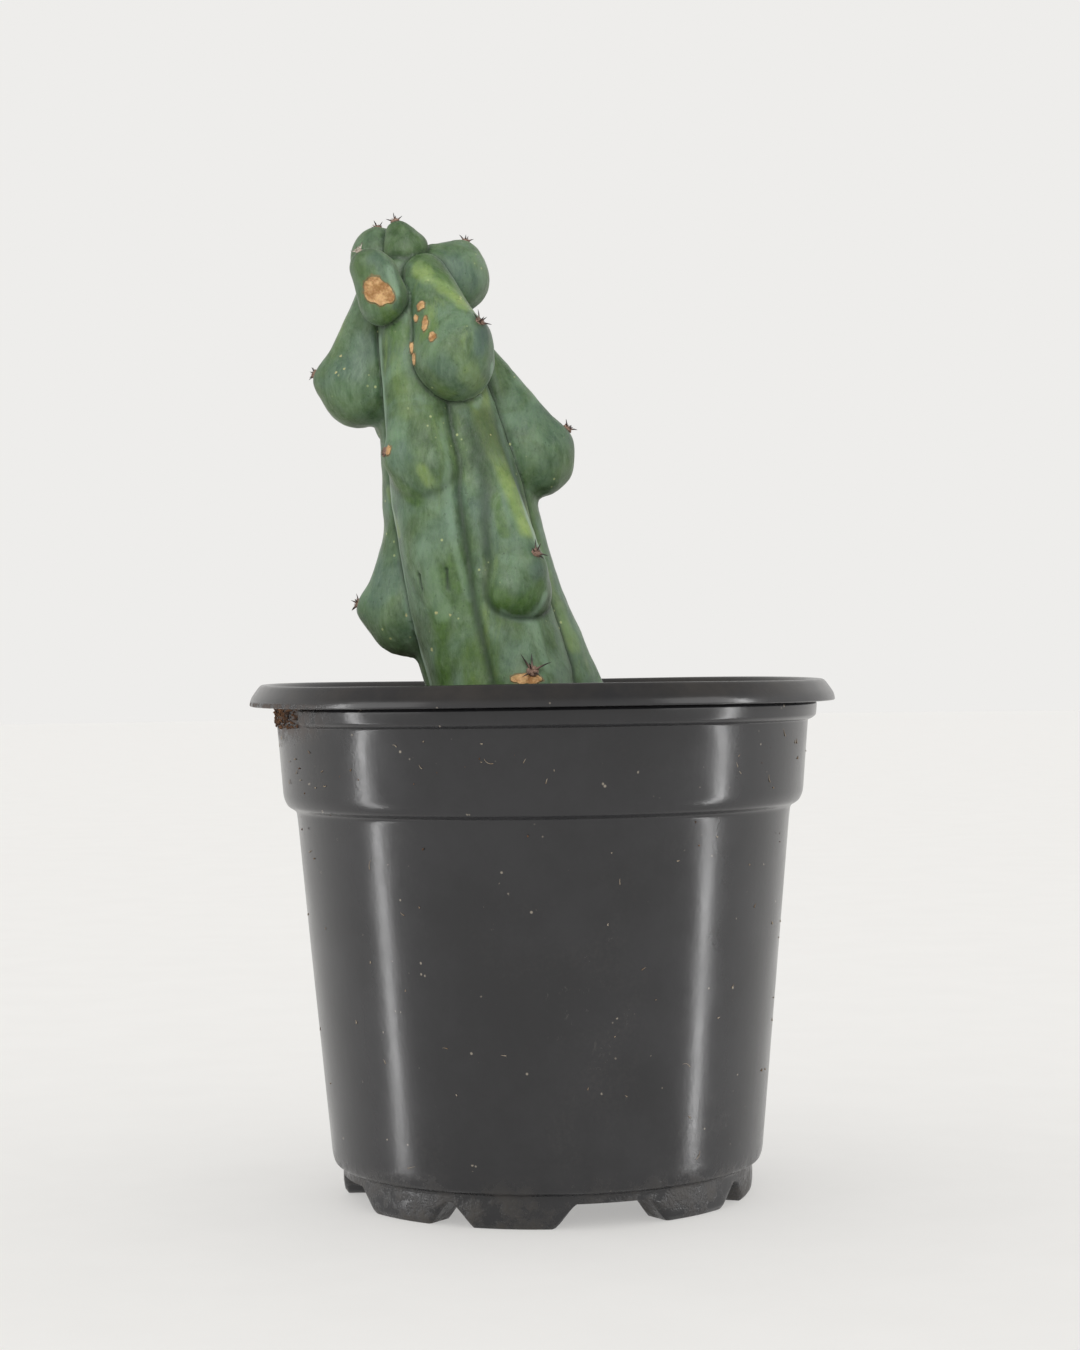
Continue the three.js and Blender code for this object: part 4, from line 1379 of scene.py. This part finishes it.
def soil_patch(cells=70):
    """The open part of the soil's top as a mesh to scatter on: inside the wall, clear of the stem."""
    rim = wall_inside(SOIL_TOP) - WALL_GAP
    edges = np.linspace(-rim, rim, cells + 1)
    grid_x, grid_y = np.meshgrid(edges, edges, indexing="ij")
    height = soil_height(grid_x.ravel(), grid_y.ravel())
    points = np.stack([grid_x.ravel(), grid_y.ravel(), height], -1)
    clear = stem_distance(points) > STEM_GAP
    kept = clear & (np.hypot(points[:, 0], points[:, 1]) < rim)
    faces = []
    for i in range(cells):
        for j in range(cells):
            a = i * (cells + 1) + j
            corners = (a, a + cells + 1, a + cells + 2, a + 1)
            if all(kept[c] for c in corners):
                faces.append(corners)
    return mesh_from("soil_patch", points, faces)


# ---------------------------------------------------------------- crumbs, dust and lint on the pot


def wall_patch(name, start, end, low, high, steps=24):
    """A strip of the collar's outside as a mesh to scatter on, between two turns and two heights."""
    turns = np.radians(np.linspace(start, end, steps + 1))
    points = []
    for height in (low, (low + high) / 2, high):
        radius = pot_wall_outside(height)
        for turn in turns:
            points.append([radius * math.sin(turn), -radius * math.cos(turn), height])
    faces = []
    for row in range(2):
        for step in range(steps):
            a = row * (steps + 1) + step
            faces.append((a, a + 1, a + steps + 2, a + steps + 1))
    return mesh_from(name, points, faces)


def pot_wall_outside(height):
    """The radius of the pot's outer wall at a height, bead left out."""
    heights = [8.9, 12, 102, 105.2, 106.6, 108.9, 134]
    radii = [56.3, 58.8, 67.1, 67.5, 69.9, 70.95, 73]
    return float(np.interp(height, heights, radii))


LINT_LENGTHS = (0.5, 0.7, 1.0, 1.4, 2.6)


def build_lint(count, seed=5):
    """Short pale hairs and flakes lying on the pot's outside."""
    rng = random.Random(seed)
    vertices, faces, shades = [], [], []
    for _ in range(count):
        turn = math.radians(rng.uniform(-180, 180))
        height = rng.uniform(14, 127) if rng.random() < 0.75 else rng.uniform(106, 128)
        if 100 < height < 110:
            height += 12
        radius = pot_wall_outside(height)
        outward = np.array([math.sin(turn), -math.cos(turn), 0])
        across = np.array([math.cos(turn), math.sin(turn), 0])
        middle = outward * (radius + 0.06) + np.array([0, 0, height])
        lean = rng.uniform(0, math.pi)
        heading = across * math.cos(lean) + np.array([0, 0, 1.0]) * math.sin(lean)
        length = rng.choice(LINT_LENGTHS)
        thick = 0.09 if length > 1.2 else rng.uniform(0.1, 0.2)
        bend = np.cross(outward, heading) * length * rng.uniform(-0.25, 0.25)
        root = middle - heading * length / 2
        tapered_spine(vertices, faces, shades, root, root + heading * length, bend, thick, sides=4, rings=5)
    mesh = mesh_from("pot_lint", vertices, faces)
    return new_object("pot_lint", mesh, finish(lint_fibre))


# ---------------------------------------------------------------- the studio


# Lights, in metres and degrees from the front: the softbox above the camera reaches only the plant,
# and on each side a thin strip close by and a broad one further off reach only the pot.
PLANT_MIDDLE = (0, 0, 0.2)
FRONT_PLACE = (-0.12, -0.9, 0.95)
FRONT_SIZE = (0.9, 0.9)
STRIP_TURN = 77
STRIP_REACH = 0.42
STRIP_HEIGHT = 0.07
STRIP_SIZE = (0.022, 0.38)
BROAD_TURN = 64
BROAD_REACH = 1.3
BROAD_HEIGHT = 0.45
BROAD_SIZE = (0.8, 0.8)
STRIP_SIDES = (("left", -1, 0.85), ("right", 1, 0.95))
WASH_SPREAD = 120
# The camera stands a hair to the left and looks down by a fraction of a degree.
CAMERA_SIDE = -0.0004
CAMERA_DIP = 0.42


def area_light(name, place, target, size, power):
    """A softbox that faces its target."""
    data = bpy.data.lights.new(name, "AREA")
    data.shape = "RECTANGLE"
    data.size, data.size_y = size
    data.energy = power
    light = bpy.data.objects.new(name, data)
    light.location = place
    direction = Vector(target) - Vector(place)
    light.rotation_euler = direction.to_track_quat("-Z", "Y").to_euler()
    bpy.context.scene.collection.objects.link(light)
    return light


def build_floor(radius=6.0, segments=96):
    """A wide round pale floor."""
    shape = bmesh.new()
    bmesh.ops.create_circle(shape, cap_ends=True, segments=segments, radius=radius)
    mesh = bpy.data.meshes.new("studio_floor")
    shape.to_mesh(mesh)
    shape.free()
    floor = new_object("studio_floor", mesh, finish(studio_floor), smooth=False)
    floor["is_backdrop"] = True
    return floor


def build_world(strength, overhead):
    """Even pale surroundings that grow dimmer overhead."""
    world = bpy.data.worlds.new("pale_studio")
    world.use_nodes = True
    tree = world.node_tree
    back = tree.nodes["Background"]
    direction = tree.nodes.new("ShaderNodeTexCoord")
    parts = tree.nodes.new("ShaderNodeSeparateXYZ")
    fade = tree.nodes.new("ShaderNodeMapRange")
    fade.interpolation_type = "SMOOTHSTEP"
    for name, value in (("From Min", 0.25), ("From Max", 0.8), ("To Min", strength), ("To Max", overhead)):
        fade.inputs[name].default_value = value
    tree.links.new(direction.outputs["Generated"], parts.inputs["Vector"])
    tree.links.new(parts.outputs["Z"], fade.inputs["Value"])
    tree.links.new(fade.outputs["Result"], back.inputs["Strength"])
    back.inputs["Color"].default_value = paint(bpy.context.scene.studio_settings.backdrop)
    bpy.context.scene.world = world


def lit_only(light, name, things):
    """Lets a light reach only these things, and lets only them stand in its way."""
    group = bpy.data.collections.get(name) or bpy.data.collections.new(name)
    for thing in things:
        if thing.name not in group.objects:
            group.objects.link(thing)
    light.light_linking.receiver_collection = group
    light.light_linking.blocker_collection = group


def floor_wash(floor, strength):
    """A broad soft light from above that evens the floor and casts no shadow."""
    data = bpy.data.lights.new("floor_wash", "SUN")
    data.energy = strength
    data.angle = math.radians(WASH_SPREAD)
    data.use_shadow = False
    light = bpy.data.objects.new("floor_wash", data)
    bpy.context.scene.collection.objects.link(light)
    lit_only(light, "floor_only", [floor])


def build_camera(distance, height, lens, roll):
    """The camera in front of the pot."""
    data = bpy.data.cameras.new("studio_camera")
    data.sensor_width = 36
    data.lens = lens
    data.clip_start = 0.05
    data.clip_end = 40
    camera = bpy.data.objects.new("studio_camera", data)
    aim = Vector((0, 1, -math.tan(math.radians(CAMERA_DIP))))
    turn = aim.to_track_quat("-Z", "Y") @ Quaternion((0, 0, 1), -math.radians(roll))
    camera.rotation_euler = turn.to_euler()
    camera.location = (CAMERA_SIDE, -distance, height)
    bpy.context.scene.collection.objects.link(camera)
    bpy.context.scene.camera = camera


# ---------------------------------------------------------------- add-on: settings


def colour_setting(name, description, colour):
    """A colour that the add-on's user can set."""
    return bpy.props.FloatVectorProperty(
        name=name, description=description, subtype="COLOR", size=3, default=colour[:3], min=0, max=1
    )


class CactusSettings(bpy.types.PropertyGroup):
    """Sizes of the stem, the grains and the lint, and the skin's colours."""

    waxy_dark: colour_setting("Waxy dark", "Darker of the waxy skin's greens", rgb(68, 93, 74))
    waxy_light: colour_setting("Waxy light", "Lighter of the waxy skin's greens", rgb(99, 126, 98))
    lush: colour_setting("Lush green", "Green where the wax is rubbed off", rgb(74, 106, 38))
    sunned: colour_setting("Sunned green", "Yellow-green of sunned skin", rgb(146, 166, 94))
    # The colour of the painted highlights along the rib edges beside the furrows.
    pale: colour_setting("Pale bloom", "Bluish bloom beside the furrows", rgb(140, 168, 144))
    cork: colour_setting("Cork", "Lighter colour of the corky scars", rgb(212, 172, 122))
    skin_cell: bpy.props.FloatProperty(
        name="Skin cell", description="Grid step of the stem's skin, in millimetres", default=0.68, min=0.4
    )
    lint_count: bpy.props.IntProperty(
        name="Lint", description="How many hairs and flakes lie on the pot", default=150, min=0
    )
    peat_density: bpy.props.FloatProperty(
        name="Peat crumbs", description="Peat crumbs on each square metre of soil", default=95000
    )
    pumice_density: bpy.props.FloatProperty(
        name="Pumice", description="Pumice grains on each square metre of soil", default=4200
    )


class PotSettings(bpy.types.PropertyGroup):
    """Fineness and colour of the pot."""

    black: colour_setting("Plastic", "Base colour of the black plastic", rgb(36, 36, 38))
    segments: bpy.props.IntProperty(
        name="Segments", description="Facets round the pot", default=384, min=64, max=512
    )


class StudioSettings(bpy.types.PropertyGroup):
    """Camera, light and backdrop."""

    backdrop: colour_setting("Backdrop", "Colour of the surroundings", rgb(238, 237, 235))
    camera_distance: bpy.props.FloatProperty(
        name="Camera distance", description="From the pot's axis", default=0.785, unit="LENGTH"
    )
    camera_height: bpy.props.FloatProperty(
        name="Camera height", description="Above the floor", default=0.147, unit="LENGTH"
    )
    camera_roll: bpy.props.FloatProperty(
        name="Camera roll", description="Clockwise turn of the camera in degrees", default=0.75
    )
    lens: bpy.props.FloatProperty(name="Lens", description="Focal length in millimetres", default=76.4)
    surroundings: bpy.props.FloatProperty(
        name="Surroundings", description="Brightness of the pale surroundings", default=1.0, min=0
    )
    strip_power: bpy.props.FloatProperty(
        name="Strip light", description="Power of each strip softbox in watts", default=0.5, min=0
    )
    overhead: bpy.props.FloatProperty(
        name="Overhead", description="Brightness of the surroundings overhead", default=0.5, min=0
    )
    side_power: bpy.props.FloatProperty(
        name="Side lights", description="Power of each broad side softbox in watts", default=3.0, min=0
    )
    wash_strength: bpy.props.FloatProperty(
        name="Floor wash", description="Strength of the light that evens the floor", default=1.42, min=0
    )
    front_power: bpy.props.FloatProperty(
        name="Front light", description="Power of the big softbox above the camera in watts",
        default=10.5, min=0,
    )


# ---------------------------------------------------------------- add-on: operators


class CACTUS_OT_pot(bpy.types.Operator):
    """Builds the moulded nursery pot"""

    bl_idname = "cactus.pot"
    bl_label = "Pot"

    def execute(self, context):
        pot = build_pot(context.scene.pot_settings.segments)
        finish_piece(pot, "pot_plastic", "pot")
        return {"FINISHED"}


class CACTUS_OT_soil(bpy.types.Operator):
    """Builds the soil, its crumbs and its pumice grains"""

    bl_idname = "cactus.soil"
    bl_label = "Soil"

    def execute(self, context):
        settings = context.scene.cactus_settings
        finish_piece(build_soil(), "soil", "soil")
        peat = scatter_grains(
            "peat_crumbs", soil_patch(), finish(crumb_brown),
            density=settings.peat_density, smallest=0.0003, largest=0.0012, flatness=0.7, seed=4,
        )
        finish_piece(peat, "soil")
        grains = scatter_grains(
            "pumice_grains", soil_patch(), finish(pumice),
            density=settings.pumice_density, smallest=0.0007, largest=0.0022, flatness=0.85, seed=9,
        )
        finish_piece(grains, "soil")
        return {"FINISHED"}


class CACTUS_OT_stem(bpy.types.Operator):
    """Builds the stem's skin"""

    bl_idname = "cactus.stem"
    bl_label = "Stem"

    def execute(self, context):
        stem = build_stem(context.scene.cactus_settings.skin_cell)
        finish_piece(stem, "cactus_skin", "cactus_stem")
        return {"FINISHED"}


class CACTUS_OT_spines(bpy.types.Operator):
    """Builds each areole's felt pad and spines"""

    bl_idname = "cactus.spines"
    bl_label = "Spines"

    def execute(self, context):
        for seed, (name, plan) in enumerate(TUBERCLES.items()):
            finish_piece(build_spines(name, plan, seed), "spines", "spines_" + name)
        return {"FINISHED"}


class CACTUS_OT_litter(bpy.types.Operator):
    """Scatters the soil crumbs and lint that cling to the pot"""

    bl_idname = "cactus.litter"
    bl_label = "Crumbs and lint"

    def execute(self, context):
        under_lip = scatter_grains(
            "lip_crumbs", wall_patch("lip_patch", -84, -62, 128.2, 133.6), finish(crumb_brown),
            density=900000.0, smallest=0.00015, largest=0.0006, flatness=0.7, seed=2,
        )
        finish_piece(under_lip, "soil")
        on_wall = scatter_grains(
            "wall_crumbs", wall_patch("wall_crumb_patch", -75, 75, 96, 127), finish(crumb_brown),
            density=4500.0, smallest=0.0001, largest=0.00035, flatness=0.6, seed=7,
        )
        finish_piece(on_wall, "soil")
        finish_piece(build_lint(context.scene.cactus_settings.lint_count), "pot_plastic")
        return {"FINISHED"}


class CACTUS_OT_studio(bpy.types.Operator):
    """Sets the pale floor, the soft lights and the camera"""

    bl_idname = "cactus.studio"
    bl_label = "Studio"

    def execute(self, context):
        settings = context.scene.studio_settings
        floor = build_floor()
        floor_wash(floor, settings.wash_strength)
        build_world(settings.surroundings, settings.overhead)
        build_camera(settings.camera_distance, settings.camera_height, settings.lens, settings.camera_roll)
        pot = [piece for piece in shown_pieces() if piece.name.startswith("pot_moulding")]
        plant = [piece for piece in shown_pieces() if piece not in pot]
        front = area_light("front", FRONT_PLACE, PLANT_MIDDLE, FRONT_SIZE, settings.front_power)
        lit_only(front, "plant_only", plant)
        for name, side, share in STRIP_SIDES:
            place = around(STRIP_TURN * side, STRIP_REACH, STRIP_HEIGHT)
            power = settings.strip_power * share
            strip = area_light("strip_" + name, place, (0, 0, STRIP_HEIGHT), STRIP_SIZE, power)
            place = around(BROAD_TURN * side, BROAD_REACH, BROAD_HEIGHT)
            broad = area_light("broad_" + name, place, PLANT_MIDDLE, BROAD_SIZE, settings.side_power)
            for light in (strip, broad):
                lit_only(light, "pot_only", pot)
        context.scene.view_settings.view_transform = "Standard"
        return {"FINISHED"}


class CACTUS_PT_panel(bpy.types.Panel):
    """Lists the pieces in building order"""

    bl_idname = "CACTUS_PT_panel"
    bl_label = "Potted cactus"
    bl_space_type = "VIEW_3D"
    bl_region_type = "UI"
    bl_category = "Cactus"

    def draw(self, context):
        for operator in OPERATORS:
            self.layout.operator(operator.bl_idname)


OPERATORS = (
    CACTUS_OT_pot,
    CACTUS_OT_soil,
    CACTUS_OT_stem,
    CACTUS_OT_spines,
    CACTUS_OT_litter,
    CACTUS_OT_studio,
)
SETTINGS = {
    "cactus_settings": CactusSettings,
    "pot_settings": PotSettings,
    "studio_settings": StudioSettings,
}


def register():
    for group in SETTINGS.values():
        bpy.utils.register_class(group)
    for name, group in SETTINGS.items():
        setattr(bpy.types.Scene, name, bpy.props.PointerProperty(type=group))
    for operator in OPERATORS:
        bpy.utils.register_class(operator)
    bpy.utils.register_class(CACTUS_PT_panel)


def unregister():
    bpy.utils.unregister_class(CACTUS_PT_panel)
    for operator in reversed(OPERATORS):
        bpy.utils.unregister_class(operator)
    for name, group in SETTINGS.items():
        delattr(bpy.types.Scene, name)
        bpy.utils.unregister_class(group)


def main():
    register()
    for operator in OPERATORS:
        family, name = operator.bl_idname.split(".")
        getattr(getattr(bpy.ops, family), name)()


if __name__ == "__main__":
    main()
